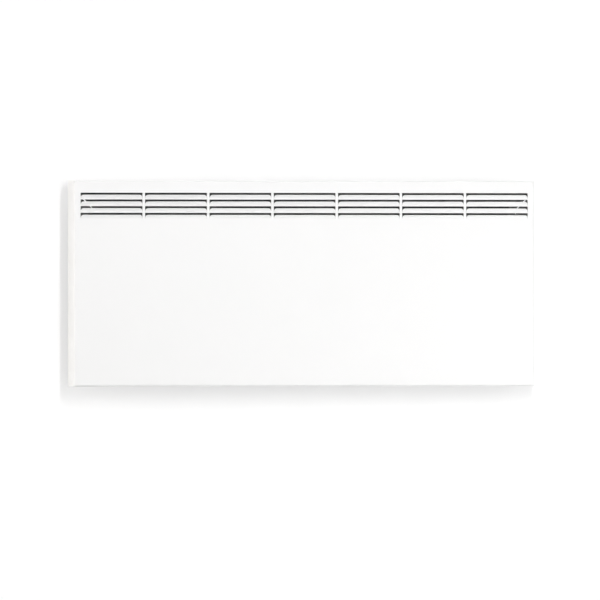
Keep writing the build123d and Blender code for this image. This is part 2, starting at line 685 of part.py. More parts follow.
with BuildPart() as cutout_bracket:
    bracket_x = (CUTOUT_X - CUTOUT_RADIUS - CUTOUT_FLANGE, CUTOUT_X + CUTOUT_RADIUS + CUTOUT_FLANGE)
    shelf_front_y = CUTOUT_Y - CUTOUT_RADIUS - 5
    block(bracket_x, (shelf_front_y, PLATE_FRONT_Y), (CUTOUT_Z - SHEET, CUTOUT_Z))
    block(bracket_x, (PLATE_FRONT_Y - SHEET, PLATE_FRONT_Y), (CUTOUT_Z - SHEET, CUTOUT_SCREW[1] + 6))
    bore(
        (CUTOUT_X, CUTOUT_Y, CUTOUT_Z - 2),
        (CUTOUT_X, CUTOUT_Y, CUTOUT_Z + 1),
        CUTOUT_RADIUS + RUNNING_FIT,
    )
    x, z = CUTOUT_SCREW
    bore((x, PLATE_FRONT_Y, z), (x, PLATE_FRONT_Y - 2, z), SCREW_RADIUS + PRESS_GAP)
save(cutout_bracket, "cutout_bracket")

with BuildPart() as overheat_cutout:
    rod((CUTOUT_X, CUTOUT_Y, CUTOUT_Z - 7), (CUTOUT_X, CUTOUT_Y, CUTOUT_Z), CUTOUT_RADIUS)
    rod(
        (CUTOUT_X, CUTOUT_Y, CUTOUT_Z),
        (CUTOUT_X, CUTOUT_Y, CUTOUT_Z + SHEET),
        CUTOUT_RADIUS + CUTOUT_FLANGE,
    )
    rod((CUTOUT_X, CUTOUT_Y, CUTOUT_Z + SHEET), (CUTOUT_X, CUTOUT_Y, tab_base_z), CUTOUT_RADIUS - 0.5)
    for y in tab_y_places:
        block(
            (CUTOUT_X - TAB_WIDTH / 2, CUTOUT_X + TAB_WIDTH / 2),
            (y - TAB_THICKNESS / 2, y + TAB_THICKNESS / 2),
            (tab_base_z, LIVE_Z + 2),
        )
save(overheat_cutout, "overheat_cutout")

SPADE_LENGTH = 5.0
with BuildPart() as spade_connectors:
    for y in tab_y_places:
        block(
            (CUTOUT_X - TAB_WIDTH / 2 - 0.6, CUTOUT_X + TAB_WIDTH / 2 + 0.6),
            (y - 1.5, y + 1.5),
            (LIVE_Z - SPADE_LENGTH / 2, LIVE_Z + SPADE_LENGTH / 2),
        )
        block(
            (CUTOUT_X - TAB_WIDTH / 2, CUTOUT_X + TAB_WIDTH / 2),
            (y - TAB_THICKNESS / 2, y + TAB_THICKNESS / 2),
            (tab_base_z, LIVE_Z + 2),
            Mode.SUBTRACT,
        )
save(spade_connectors, "spade_connectors")
SPADE_END_X = CUTOUT_X + TAB_WIDTH / 2 + 0.6

# ------------------------------------------------------------------ controls
FLOOR_X = HALF_WIDTH - POCKET_DEPTH
FLOOR_REAR_X = FLOOR_X - POCKET_WALL
KNOB_Z = POCKET_Z + KNOB_OFFSET
LAMP_Z = POCKET_Z + LAMP_OFFSET
SWITCH_Z = POCKET_Z + SWITCH_OFFSET
NECK_RADIUS = 4.5
SWITCH_PIVOT_X = FLOOR_X - 4
BEZEL_HEIGHT = 2.0


def stud_spots():
    """Four weld studs that hold the control pocket, as (y, z)."""
    reach_z = pocket_outer_height / 2 + FLANGE_END / 2
    places = [(side * STUD_SPREAD, end * reach_z) for side in (-1, 1) for end in (-1, 1)]
    return [(POCKET_Y + y, POCKET_Z + z) for y, z in places]


with BuildPart() as control_pocket:
    with BuildSketch(Plane.YZ.offset(FLOOR_REAR_X)):
        with Locations((POCKET_Y, POCKET_Z)):
            RectangleRounded(pocket_outer_width, pocket_outer_height, POCKET_CORNER + POCKET_WALL)
    extrude(amount=POCKET_DEPTH + POCKET_WALL)
    with BuildSketch(Plane.YZ.offset(INNER_X)):
        with Locations((POCKET_Y, POCKET_Z)):
            RectangleRounded(
                pocket_outer_width + 2 * FLANGE_SIDE, pocket_outer_height + 2 * FLANGE_END, POCKET_CORNER
            )
    extrude(amount=-POCKET_WALL)
    with BuildSketch(Plane.YZ.offset(FLOOR_X)):
        with Locations((POCKET_Y, POCKET_Z)):
            RectangleRounded(POCKET_WIDTH, POCKET_HEIGHT, POCKET_CORNER)
    extrude(amount=POCKET_DEPTH, mode=Mode.SUBTRACT)
    with BuildSketch(Plane.YZ.offset(FLOOR_REAR_X)):
        with Locations((POCKET_Y, KNOB_Z)):
            Circle(NECK_RADIUS + RUNNING_FIT)
        with Locations((POCKET_Y, LAMP_Z)):
            Circle(LAMP_RADIUS + RUNNING_FIT)
        with Locations((POCKET_Y, SWITCH_Z)):
            Rectangle(SWITCH_WIDTH + 2 * PRESS_GAP, SWITCH_LENGTH + 2 * PRESS_GAP)
        with Locations(*stud_spots()):
            Circle(STUD_RADIUS + PRESS_GAP)
    extrude(amount=POCKET_DEPTH + POCKET_WALL, mode=Mode.SUBTRACT)
save(control_pocket, "control_pocket")

# A weld stud and a nut at each of the pocket's four fixings.
with BuildPart() as pocket_fasteners:
    nut_face_x = INNER_X - POCKET_WALL
    for y, z in stud_spots():
        nut_end = (nut_face_x - STUD_NUT_HEIGHT, y, z)
        hexagon((nut_face_x, y, z), nut_end, STUD_NUT_SIZE)
        bore((nut_face_x, y, z), nut_end, STUD_RADIUS + PRESS_GAP)
        rod((INNER_X, y, z), (INNER_X - STUD_LENGTH, y, z), STUD_RADIUS)
save(pocket_fasteners, "pocket_fasteners")

THERMOSTAT_REAR_X = FLOOR_REAR_X - THERMOSTAT_DEPTH
NECK_END_X = FLOOR_X + 3.5
with BuildPart() as thermostat_body:
    half_size = THERMOSTAT_SIZE / 2
    block(
        (THERMOSTAT_REAR_X, FLOOR_REAR_X),
        (POCKET_Y - half_size, POCKET_Y + half_size),
        (KNOB_Z - half_size, KNOB_Z + half_size),
    )
    fillet(thermostat_body.edges().filter_by(Axis.X), 3)
    rod((FLOOR_REAR_X, POCKET_Y, KNOB_Z), (NECK_END_X, POCKET_Y, KNOB_Z), NECK_RADIUS)
    bore_end_x = THERMOSTAT_REAR_X + 6
    bore((bore_end_x, POCKET_Y, KNOB_Z), (NECK_END_X, POCKET_Y, KNOB_Z), SPINDLE_RADIUS + RUNNING_FIT)
save(thermostat_body, "thermostat_body")

with BuildPart() as thermostat_nut:
    hexagon((FLOOR_X, POCKET_Y, KNOB_Z), (FLOOR_X + 2, POCKET_Y, KNOB_Z), 12)
    bore((FLOOR_X, POCKET_Y, KNOB_Z), (FLOOR_X + 2, POCKET_Y, KNOB_Z), NECK_RADIUS + PRESS_GAP)
save(thermostat_nut, "thermostat_nut")

SPINDLE_START_X = THERMOSTAT_REAR_X + 6.3
SPINDLE_END_X = HALF_WIDTH - 4
with BuildPart() as thermostat_spindle:
    rod((SPINDLE_START_X, POCKET_Y, KNOB_Z), (SPINDLE_END_X, POCKET_Y, KNOB_Z), SPINDLE_RADIUS)
save(thermostat_spindle, "thermostat_spindle")

KNOB_FACE_X = HALF_WIDTH - 0.5
GRIP_COUNT = 24
POINTER_WIDTH = 1.6
POINTER_START = 4.0
POINTER_MARGIN = 2.0
POINTER_DEPTH = 1.0
POINTER_REST = 225.0
with BuildPart() as thermostat_knob:
    knob_back_x = FLOOR_X + 1
    rod((knob_back_x, POCKET_Y, KNOB_Z), (KNOB_FACE_X, POCKET_Y, KNOB_Z), KNOB_RADIUS)
    fillet(thermostat_knob.faces().sort_by(Axis.X)[-1].edges(), 1.2)
    bore((knob_back_x, POCKET_Y, KNOB_Z), (NECK_END_X + 1, POCKET_Y, KNOB_Z), KNOB_RADIUS - 5)
    bore((knob_back_x, POCKET_Y, KNOB_Z), (SPINDLE_END_X, POCKET_Y, KNOB_Z), SPINDLE_RADIUS)
    with BuildSketch(Plane.YZ.offset(knob_back_x)):
        with Locations((POCKET_Y, KNOB_Z)):
            with PolarLocations(KNOB_RADIUS + 0.3, GRIP_COUNT):
                Circle(1)
    extrude(amount=8, mode=Mode.SUBTRACT)
    # The pointer's groove, drawn at the dial's low end: down and to the left, seen from outside.
    groove_end = KNOB_RADIUS - POINTER_MARGIN
    with BuildSketch(Plane.YZ.offset(KNOB_FACE_X)):
        with Locations(Location((POCKET_Y, KNOB_Z), POINTER_REST)):
            with Locations(((POINTER_START + groove_end) / 2, 0)):
                Rectangle(groove_end - POINTER_START, POINTER_WIDTH)
    extrude(amount=-POINTER_DEPTH, mode=Mode.SUBTRACT)
save(thermostat_knob, "thermostat_knob")

with BuildPart() as indicator_lamp:
    rod((FLOOR_REAR_X - 8, POCKET_Y, LAMP_Z), (FLOOR_X, POCKET_Y, LAMP_Z), LAMP_RADIUS)
    rod((FLOOR_X, POCKET_Y, LAMP_Z), (FLOOR_X + 2.5, POCKET_Y, LAMP_Z), LAMP_RADIUS + 1)
    fillet(indicator_lamp.faces().sort_by(Axis.X)[-1].edges(), 2)
save(indicator_lamp, "indicator_lamp")

SWITCH_REAR_X = FLOOR_X - SWITCH_DEPTH
OPENING_LENGTH = SWITCH_LENGTH - 2 * SWITCH_WALL
OPENING_WIDTH = SWITCH_WIDTH - 2 * 0.8
ROCKER_HALF_LENGTH = OPENING_LENGTH / 2 - 1.2
ROCKER_RISE = 7.0
ROCKER_ROOT = 3.5
TRUNNION_RADIUS = 1.2

with BuildPart() as switch_body:
    half_width = SWITCH_WIDTH / 2
    half_length = SWITCH_LENGTH / 2
    block(
        (SWITCH_REAR_X, FLOOR_X),
        (POCKET_Y - half_width, POCKET_Y + half_width),
        (SWITCH_Z - half_length, SWITCH_Z + half_length),
    )
    block(
        (FLOOR_X, FLOOR_X + BEZEL_HEIGHT),
        (POCKET_Y - half_width - 1.5, POCKET_Y + half_width + 1.5),
        (SWITCH_Z - half_length - 1.5, SWITCH_Z + half_length + 1.5),
    )
    fillet(switch_body.faces().sort_by(Axis.X)[-1].edges(), 0.8)
    block(
        (SWITCH_PIVOT_X - ROCKER_ROOT - 2, FLOOR_X + BEZEL_HEIGHT),
        (POCKET_Y - OPENING_WIDTH / 2, POCKET_Y + OPENING_WIDTH / 2),
        (SWITCH_Z - OPENING_LENGTH / 2, SWITCH_Z + OPENING_LENGTH / 2),
        Mode.SUBTRACT,
    )
    bore(
        (SWITCH_PIVOT_X, POCKET_Y - half_width, SWITCH_Z),
        (SWITCH_PIVOT_X, POCKET_Y + half_width, SWITCH_Z),
        TRUNNION_RADIUS + RUNNING_FIT,
    )
save(switch_body, "switch_body")

with BuildPart() as switch_rocker:
    rocker_half_width = OPENING_WIDTH / 2 - SIDE_PLAY
    tilt = radians(ROCKER_TILT)
    rocker_plane = Plane(
        origin=(SWITCH_PIVOT_X, POCKET_Y - rocker_half_width, SWITCH_Z),
        x_dir=(sin(tilt), 0, cos(tilt)),
        z_dir=(0, 1, 0),
    )
    with BuildSketch(rocker_plane):
        with BuildLine():
            Polyline(
                (-ROCKER_HALF_LENGTH, ROCKER_RISE),
                (-ROCKER_HALF_LENGTH, -ROCKER_ROOT),
                (ROCKER_HALF_LENGTH, -ROCKER_ROOT),
                (ROCKER_HALF_LENGTH, ROCKER_RISE),
            )
            ThreePointArc(
                (ROCKER_HALF_LENGTH, ROCKER_RISE), (0, ROCKER_RISE - 1.8), (-ROCKER_HALF_LENGTH, ROCKER_RISE)
            )
        make_face()
    extrude(amount=2 * rocker_half_width)
    trunnion_reach = SWITCH_WIDTH / 2 - 0.1
    rod(
        (SWITCH_PIVOT_X, POCKET_Y - trunnion_reach, SWITCH_Z),
        (SWITCH_PIVOT_X, POCKET_Y + trunnion_reach, SWITCH_Z),
        TRUNNION_RADIUS,
    )
save(switch_rocker, "switch_rocker")

# ------------------------------------------------------------------ room sensor
SENSOR_RADIUS = 3.5
SENSOR_LENGTH = 60.0
SENSOR_X = INNER_X - 9
SENSOR_Y = MIDDLE_Y - 7
sensor_z = (-HALF_HEIGHT + 25, -HALF_HEIGHT + 25 + SENSOR_LENGTH)
CAPILLARY_RADIUS = 0.9

with BuildPart() as sensor_bulb:
    rod((SENSOR_X, SENSOR_Y, sensor_z[0]), (SENSOR_X, SENSOR_Y, sensor_z[1]), SENSOR_RADIUS)
    fillet(sensor_bulb.edges().filter_by(GeomType.CIRCLE), 1.5)
save(sensor_bulb, "sensor_bulb")

with BuildPart() as sensor_clips:
    for share in (0.25, 0.75):
        clip_z = sensor_z[0] + share * SENSOR_LENGTH
        ring_radius = SENSOR_RADIUS + 1.2
        rod((SENSOR_X, SENSOR_Y, clip_z - 4), (SENSOR_X, SENSOR_Y, clip_z + 4), ring_radius)
        block((SENSOR_X, INNER_X - 1), (SENSOR_Y - 2, SENSOR_Y + 2), (clip_z - 4, clip_z + 4))
        block((INNER_X - 1, INNER_X), (SENSOR_Y - 8, SENSOR_Y + 8), (clip_z - 4, clip_z + 4))
        grip_radius = SENSOR_RADIUS + PRESS_GAP
        bore((SENSOR_X, SENSOR_Y, clip_z - 5), (SENSOR_X, SENSOR_Y, clip_z + 5), grip_radius)
        mouth = (SENSOR_X - ring_radius - 1, SENSOR_X - 2)
        block(mouth, (SENSOR_Y - 2, SENSOR_Y + 2), (clip_z - 5, clip_z + 5), Mode.SUBTRACT)
save(sensor_clips, "sensor_clips")

capillary_x = FLOOR_REAR_X - THERMOSTAT_DEPTH / 2
capillary_turn_z = POCKET_Z - pocket_outer_height / 2 - 20
lead(
    "sensor_capillary",
    [
        (SENSOR_X, SENSOR_Y, sensor_z[1]),
        (SENSOR_X, SENSOR_Y, (sensor_z[1] + capillary_turn_z) / 2),
        (capillary_x, POCKET_Y - 12, capillary_turn_z),
        (capillary_x, POCKET_Y - 12, KNOB_Z - THERMOSTAT_SIZE / 2),
    ],
    (WIDE_BEND, WIDE_BEND),
    CAPILLARY_RADIUS,
)

# ------------------------------------------------------------------ terminals, earth and cable inlet
pole_x = [BLOCK_X - POLE_PITCH, BLOCK_X, BLOCK_X + POLE_PITCH]
block_front_y = PLATE_FRONT_Y - BLOCK_DEPTH
POLE_SCREW_RADIUS = 2.2

with BuildPart() as terminal_block:
    block(
        (BLOCK_X - BLOCK_WIDTH / 2, BLOCK_X + BLOCK_WIDTH / 2),
        (block_front_y, PLATE_FRONT_Y),
        (BLOCK_Z - BLOCK_HEIGHT / 2, BLOCK_Z + BLOCK_HEIGHT / 2),
    )
    fillet(terminal_block.edges().filter_by(Axis.Z), 1.5)
    for x in pole_x:
        bore((x, block_front_y, BLOCK_Z), (x, block_front_y + 6, BLOCK_Z), POLE_SCREW_RADIUS + PRESS_GAP)
        entry_z = BLOCK_Z - BLOCK_HEIGHT / 2
        bore((x, block_front_y + 9, entry_z), (x, block_front_y + 9, entry_z + 6), 2)
    for x, z in BLOCK_SCREWS:
        bore((x, block_front_y, z), (x, PLATE_FRONT_Y, z), SCREW_RADIUS + PRESS_GAP)
        bore((x, block_front_y, z), (x, block_front_y + 4, z), SCREW_RADIUS + 0.6)
save(terminal_block, "terminal_block")

with BuildPart() as terminal_screws:
    for x in pole_x:
        rod((x, block_front_y + 1, BLOCK_Z), (x, block_front_y + 6, BLOCK_Z), POLE_SCREW_RADIUS)
        drive_slot_y = (block_front_y, block_front_y + 1.6)
        block((x - 3, x + 3), drive_slot_y, (BLOCK_Z - 0.3, BLOCK_Z + 0.3), Mode.SUBTRACT)
save(terminal_screws, "terminal_screws")

with BuildPart() as earth_stud:
    stud_tip_y = PLATE_REAR_Y - EARTH_STUD_LENGTH
    rod((EARTH_X, PLATE_REAR_Y, EARTH_Z), (EARTH_X, stud_tip_y, EARTH_Z), EARTH_STUD_RADIUS)
    rod((EARTH_X, PLATE_REAR_Y, EARTH_Z), (EARTH_X, PLATE_REAR_Y + 1.5, EARTH_Z), 4)
save(earth_stud, "earth_stud")

RING_THICKNESS = 0.8
with BuildPart() as earth_ring:
    rod((EARTH_X, PLATE_FRONT_Y, EARTH_Z), (EARTH_X, PLATE_FRONT_Y - RING_THICKNESS, EARTH_Z), 4.5)
    block(
        (EARTH_X - 1.8, EARTH_X + 1.8),
        (PLATE_FRONT_Y - 3.6, PLATE_FRONT_Y),
        (EARTH_Z - 9, EARTH_Z - 4),
    )
    stud_hole = EARTH_STUD_RADIUS + PRESS_GAP
    bore((EARTH_X, PLATE_FRONT_Y, EARTH_Z), (EARTH_X, PLATE_FRONT_Y - 4, EARTH_Z), stud_hole)
save(earth_ring, "earth_ring_terminal")

with BuildPart() as earth_nut:
    nut_y = PLATE_FRONT_Y - RING_THICKNESS
    hexagon((EARTH_X, nut_y, EARTH_Z), (EARTH_X, nut_y - 3.2, EARTH_Z), 7)
    bore((EARTH_X, nut_y, EARTH_Z), (EARTH_X, nut_y - 3.2, EARTH_Z), EARTH_STUD_RADIUS + PRESS_GAP)
save(earth_nut, "earth_nut")

with BuildPart() as cable_inlet:
    rod((INLET_X, PLATE_REAR_Y + 3, INLET_Z), (INLET_X, PLATE_FRONT_Y - 8, INLET_Z), INLET_NECK_RADIUS)
    rod((INLET_X, PLATE_REAR_Y, INLET_Z), (INLET_X, PLATE_REAR_Y + 3, INLET_Z), INLET_NECK_RADIUS + 3)
    fillet(cable_inlet.faces().sort_by(Axis.Y)[-1].edges(), 1.5)
    bore((INLET_X, PLATE_REAR_Y + 4, INLET_Z), (INLET_X, PLATE_FRONT_Y - 9, INLET_Z), INLET_BORE_RADIUS)
save(cable_inlet, "cable_inlet")

with BuildPart() as inlet_nut:
    hexagon((INLET_X, PLATE_FRONT_Y, INLET_Z), (INLET_X, PLATE_FRONT_Y - 5, INLET_Z), 20)
    neck_hole = INLET_NECK_RADIUS + PRESS_GAP
    bore((INLET_X, PLATE_FRONT_Y, INLET_Z), (INLET_X, PLATE_FRONT_Y - 5, INLET_Z), neck_hole)
save(inlet_nut, "inlet_nut")

with BuildPart() as inner_screws:
    for x, z in support_screw_spots():
        screw(x, z, PLATE_FRONT_Y - SUPPORT_SHEET, PLATE_REAR_Y + 1.5)
    for x, z in partition_screw_spots() + [CUTOUT_SCREW]:
        screw(x, z, PLATE_FRONT_Y - SHEET, PLATE_REAR_Y + 1.5)
    for x, z in BLOCK_SCREWS:
        rod((x, block_front_y + 4, z), (x, PLATE_REAR_Y + 1.5, z), SCREW_RADIUS)
        rod((x, block_front_y + 4, z), (x, block_front_y + 2, z), SCREW_RADIUS + 0.5)
save(inner_screws, "inner_screws")

# ------------------------------------------------------------------ internal leads
block_top_z = BLOCK_Z + BLOCK_HEIGHT / 2
CHASE_X = PARTITION_X + 7.5
LIVE_IN_Y = PLATE_FRONT_Y - 5
RUN_Y = PLATE_FRONT_Y - 5
RUN_Z = -HALF_HEIGHT + LEAD_RUN_RISE
switch_entry_z = SWITCH_Z - 38

lead(
    "live_in_lead",
    [
        (pole_x[0], LIVE_IN_Y, block_top_z),
        (pole_x[0], LIVE_IN_Y, (block_top_z + switch_entry_z) / 2),
        (CHASE_X - 0.5, POCKET_Y, switch_entry_z),
        (CHASE_X - 0.5, POCKET_Y, SWITCH_Z - 6),
        (SWITCH_REAR_X, POCKET_Y, SWITCH_Z - 6),
    ],
    (WIDE_BEND, WIDE_BEND, WIDE_BEND),
)
lead(
    "switched_lead",
    [
        (SWITCH_REAR_X, POCKET_Y, SWITCH_Z + 6),
        (CHASE_X - 1.5, POCKET_Y, SWITCH_Z + 6),
        (CHASE_X - 1.5, POCKET_Y - 8, KNOB_Z - 4),
        (THERMOSTAT_REAR_X, POCKET_Y - 8, KNOB_Z - 4),
    ],
    (WIDE_BEND, WIDE_BEND),
)
lead(
    "live_lead",
    [
        (THERMOSTAT_REAR_X, LIVE_Y, KNOB_Z),
        (CHASE_X, LIVE_Y, KNOB_Z),
        (CHASE_X, LIVE_Y, LIVE_Z),
        (SPADE_END_X, LIVE_Y, LIVE_Z),
    ],
    (WIDE_BEND, GROMMET_BEND),
)
lead(
    "cutout_lead",
    [
        (SPADE_END_X, tab_y_places[1], LIVE_Z),
        (rod_x[1] + 27, tab_y_places[1], LIVE_Z),
        (rod_x[1] + 27, ELEMENT_Y, ELEMENT_Z),
        (rod_x[1] + TERMINAL_LENGTH, ELEMENT_Y, ELEMENT_Z),
    ],
    (WIDE_BEND, WIDE_BEND),
)
lead(
    "neutral_lead",
    [
        (pole_x[1], NEUTRAL_Y, block_top_z),
        (pole_x[1], NEUTRAL_Y, NEUTRAL_Z),
        (PARTITION_X - 15, NEUTRAL_Y, NEUTRAL_Z),
        (PARTITION_X - 15, RUN_Y, RUN_Z),
        (rod_x[0] - 26, RUN_Y, RUN_Z),
        (rod_x[0] - 26, ELEMENT_Y, ELEMENT_Z),
        (rod_x[0] - TERMINAL_LENGTH, ELEMENT_Y, ELEMENT_Z),
    ],
    (WIDE_BEND, GROMMET_BEND + 3, WIDE_BEND, WIDE_BEND, WIDE_BEND),
)
lead(
    "earth_lead",
    [
        (EARTH_X, LIVE_IN_Y - 4, block_top_z),
        (EARTH_X, LIVE_IN_Y - 4, block_top_z + 14),
        (EARTH_X, PLATE_FRONT_Y - 2, EARTH_Z - 20),
        (EARTH_X, PLATE_FRONT_Y - 2, EARTH_Z - 9),
    ],
    (WIDE_BEND, WIDE_BEND),
)

with BuildPart() as lead_clips:
    for index in range(CLIP_COUNT):
        clip_x = element_x[0] + (index + 0.5) * element_length / CLIP_COUNT
        clip_half = CLIP_LENGTH / 2
        clip_y = (RUN_Y - LEAD_RADIUS - 1.4, PLATE_FRONT_Y)
        block((clip_x - clip_half, clip_x + clip_half), clip_y, (RUN_Z - 3, RUN_Z + 3))
        fillet(lead_clips.edges().filter_by(Axis.X).group_by(Axis.Y)[0], 2)
        start = (clip_x - CLIP_LENGTH, RUN_Y, RUN_Z)
        end = (clip_x + CLIP_LENGTH, RUN_Y, RUN_Z)
        bore(start, end, LEAD_RADIUS + PRESS_GAP)
save(lead_clips, "lead_clips")

# ------------------------------------------------------------------ wall bracket
CHANNEL_FRONT_Y = PLATE_REAR_Y + SIDE_PLAY
HOOK_RADIUS = PIVOT_SETBACK - 0.8
SLOT_HALF = PIN_RADIUS + RUNNING_FIT
CHANNEL_INNER = CHANNEL_WIDTH / 2 - BRACKET_SHEET
PAD_Z = (CHANNEL_TOP - PAD_DROP - PAD_LENGTH, CHANNEL_TOP - PAD_DROP)
WEB_FRONT_Y = -BRACKET_SHEET
RAIL_LENGTH = HANGER_SPACING - CHANNEL_WIDTH


def rail_rivet_spots(z_middle):
    """Two rivets in each end tab of a rail, as (y, z)."""
    return [(-RAIL_TAB_DEPTH / 2, z_middle + side * RAIL_RIVET_PITCH / 2) for side in (-1, 1)]


RAIL_Z = (CHANNEL_TOP - RAIL_DROP, PIVOT_Z + RAIL_RISE)


def hanger(side, name):
    """Upright channel of the bracket: its lower end is an open hook, its upper end carries a latch."""
    middle_x = side * HANGER_X
    with BuildPart() as channel:
        # The flange's outline, with a round lower front corner about the pivot.
        with BuildSketch(Plane.YZ.offset(middle_x - CHANNEL_WIDTH / 2)):
            with BuildLine():
                Polyline(
                    (PIVOT_Y - HOOK_RADIUS, PIVOT_Z),
                    (CHANNEL_FRONT_Y, PIVOT_Z),
                    (CHANNEL_FRONT_Y, PAD_Z[0]),
                    (CHANNEL_FRONT_Y + PAD_THICKNESS, PAD_Z[0]),
                    (CHANNEL_FRONT_Y + PAD_THICKNESS, PAD_Z[1]),
                    (CHANNEL_FRONT_Y, PAD_Z[1]),
                    (CHANNEL_FRONT_Y, CHANNEL_TOP),
                    (0, CHANNEL_TOP),
                    (0, PIVOT_Z - HOOK_RADIUS),
                    (PIVOT_Y, PIVOT_Z - HOOK_RADIUS),
                )
                RadiusArc((PIVOT_Y, PIVOT_Z - HOOK_RADIUS), (PIVOT_Y - HOOK_RADIUS, PIVOT_Z), HOOK_RADIUS)
            make_face()
        extrude(amount=CHANNEL_WIDTH)
        block(
            (middle_x - CHANNEL_INNER, middle_x + CHANNEL_INNER),
            (CHANNEL_FRONT_Y - 1, WEB_FRONT_Y),
            (PIVOT_Z - HOOK_RADIUS, CHANNEL_TOP),
            Mode.SUBTRACT,
        )
        # The hook: down to the pin's seat, and forward out of the flange above it.
        whole_width = (middle_x - CHANNEL_WIDTH, middle_x + CHANNEL_WIDTH)
        bore((whole_width[0], PIVOT_Y, PIVOT_Z), (whole_width[1], PIVOT_Y, PIVOT_Z), SLOT_HALF)
        drop_y = (PIVOT_Y - SLOT_HALF, PIVOT_Y + SLOT_HALF)
        block(whole_width, drop_y, (PIVOT_Z, PIVOT_Z + HOOK_LIFT), Mode.SUBTRACT)
        block(
            whole_width,
            (CHANNEL_FRONT_Y - 1, PIVOT_Y),
            (PIVOT_Z + HOOK_LIFT - 2 * SLOT_HALF, PIVOT_Z + HOOK_LIFT),
            Mode.SUBTRACT,
        )
        for z in (-WALL_HOLE_SPACING_Z / 2, WALL_HOLE_SPACING_Z / 2):
            bore((middle_x, 0, z), (middle_x, WEB_FRONT_Y, z), WALL_HOLE_RADIUS)
        bore(
            (middle_x, 0, LATCH_STUD_Z),
            (middle_x, WEB_FRONT_Y, LATCH_STUD_Z),
            LATCH_STUD_RADIUS + PRESS_GAP,
        )
        flange_x = (middle_x - side * CHANNEL_WIDTH / 2, middle_x - side * CHANNEL_INNER)
        for rail_z in RAIL_Z:
            for y, z in rail_rivet_spots(rail_z):
                bore((flange_x[0], y, z), (flange_x[1], y, z), RIVET_RADIUS + PRESS_GAP)
    save(channel, name)


hanger(-1, "bracket_upright_left")
hanger(1, "bracket_upright_right")


# Two flat rails on the wall between the uprights, with an end tab folded forward at each end.
with BuildPart() as bracket_rails:
    half_length = RAIL_LENGTH / 2
    for rail_z in RAIL_Z:
        z_range = (rail_z - RAIL_HEIGHT / 2, rail_z + RAIL_HEIGHT / 2)
        block((-half_length, half_length), (WEB_FRONT_Y, 0), z_range)
        for side in (-1, 1):
            tab_x = sorted((side * half_length, side * (half_length - BRACKET_SHEET)))
            block(tab_x, (-RAIL_TAB_DEPTH, 0), z_range)
        for y, z in rail_rivet_spots(rail_z):
            bore((-half_length, y, z), (half_length, y, z), RIVET_RADIUS + PRESS_GAP)
        with Locations((0, WEB_FRONT_Y / 2, rail_z)):
            with GridLocations(RAIL_WINDOW_PITCH, 1, RAIL_WINDOWS, 1):
                Box(RAIL_WINDOW_LENGTH, 2 * BRACKET_SHEET, RAIL_HEIGHT / 3, mode=Mode.SUBTRACT)
save(bracket_rails, "bracket_rails")

with BuildPart() as bracket_rivets:
    joint_x = RAIL_LENGTH / 2
    for side in (-1, 1):
        inner_x = side * (joint_x - BRACKET_SHEET)
        outer_x = side * (joint_x + BRACKET_SHEET)
        for rail_z in RAIL_Z:
            for y, z in rail_rivet_spots(rail_z):
                rod((inner_x, y, z), (outer_x, y, z), RIVET_RADIUS)
                rod((inner_x, y, z), (inner_x - side * RIVET_HEAD_HEIGHT, y, z), RIVET_HEAD_RADIUS)
                rod((outer_x, y, z), (outer_x + side * RIVET_HEAD_HEIGHT, y, z), RIVET_HEAD_RADIUS)
save(bracket_rivets, "bracket_rivets")

with BuildPart() as buffer_pads:
    for side in (-1, 1):
        middle_x = side * HANGER_X
        block(
            (middle_x - CHANNEL_WIDTH / 2, middle_x + CHANNEL_WIDTH / 2),
            (CHANNEL_FRONT_Y, CHANNEL_FRONT_Y + PAD_THICKNESS),
            PAD_Z,
        )
        block(
            (middle_x - CHANNEL_INNER, middle_x + CHANNEL_INNER),
            (CHANNEL_FRONT_Y + PAD_THICKNESS, CHANNEL_FRONT_Y + PAD_THICKNESS + PAD_STEM),
            PAD_Z,
        )
save(buffer_pads, "buffer_pads")

# ------------------------------------------------------------------ hinge on the heater
rivet_base_y = (PLATE_REAR_Y, PLATE_REAR_Y + BRACKET_SHEET)

# Folded brackets on the back plate, whose lugs carry the pivot pins inside the channels.
with BuildPart() as hinge_brackets:
    base_z = (PIVOT_Z - LUG_RADIUS, HINGE_RIVET_Z + RIVET_EDGE)
    for side in (-1, 1):
        middle_x = side * HANGER_X
        block((middle_x - LUG_HALF_SPACING, middle_x + LUG_HALF_SPACING), rivet_base_y, base_z)
        for edge in (-1, 1):
            outer = middle_x + edge * LUG_HALF_SPACING
            faces = sorted((outer, outer - edge * BRACKET_SHEET))
            block(faces, (PLATE_REAR_Y, PIVOT_Y), (PIVOT_Z - LUG_RADIUS, PIVOT_Z + LUG_RADIUS))
            rod((faces[0], PIVOT_Y, PIVOT_Z), (faces[1], PIVOT_Y, PIVOT_Z), LUG_RADIUS)
        wide = (middle_x - CHANNEL_WIDTH, middle_x + CHANNEL_WIDTH)
        bore((wide[0], PIVOT_Y, PIVOT_Z), (wide[1], PIVOT_Y, PIVOT_Z), PIN_RADIUS + PRESS_GAP)
    for x, z in hinge_rivet_spots():
        bore((x, rivet_base_y[0], z), (x, rivet_base_y[1], z), RIVET_RADIUS + PRESS_GAP)
save(hinge_brackets, "hinge_brackets")

# Steel pins across the channels, with a flat head outside each flange.
with BuildPart() as pivot_pins:
    reach = CHANNEL_WIDTH / 2 + SIDE_PLAY
    for side in (-1, 1):
        middle_x = side * HANGER_X
        rod((middle_x - reach, PIVOT_Y, PIVOT_Z), (middle_x + reach, PIVOT_Y, PIVOT_Z), PIN_RADIUS)
        for out in (-1, 1):
            start = (middle_x + out * reach, PIVOT_Y, PIVOT_Z)
            rod(start, (start[0] + out * 1.5, PIVOT_Y, PIVOT_Z), PIN_RADIUS + 1.4)
save(pivot_pins, "pivot_pins")

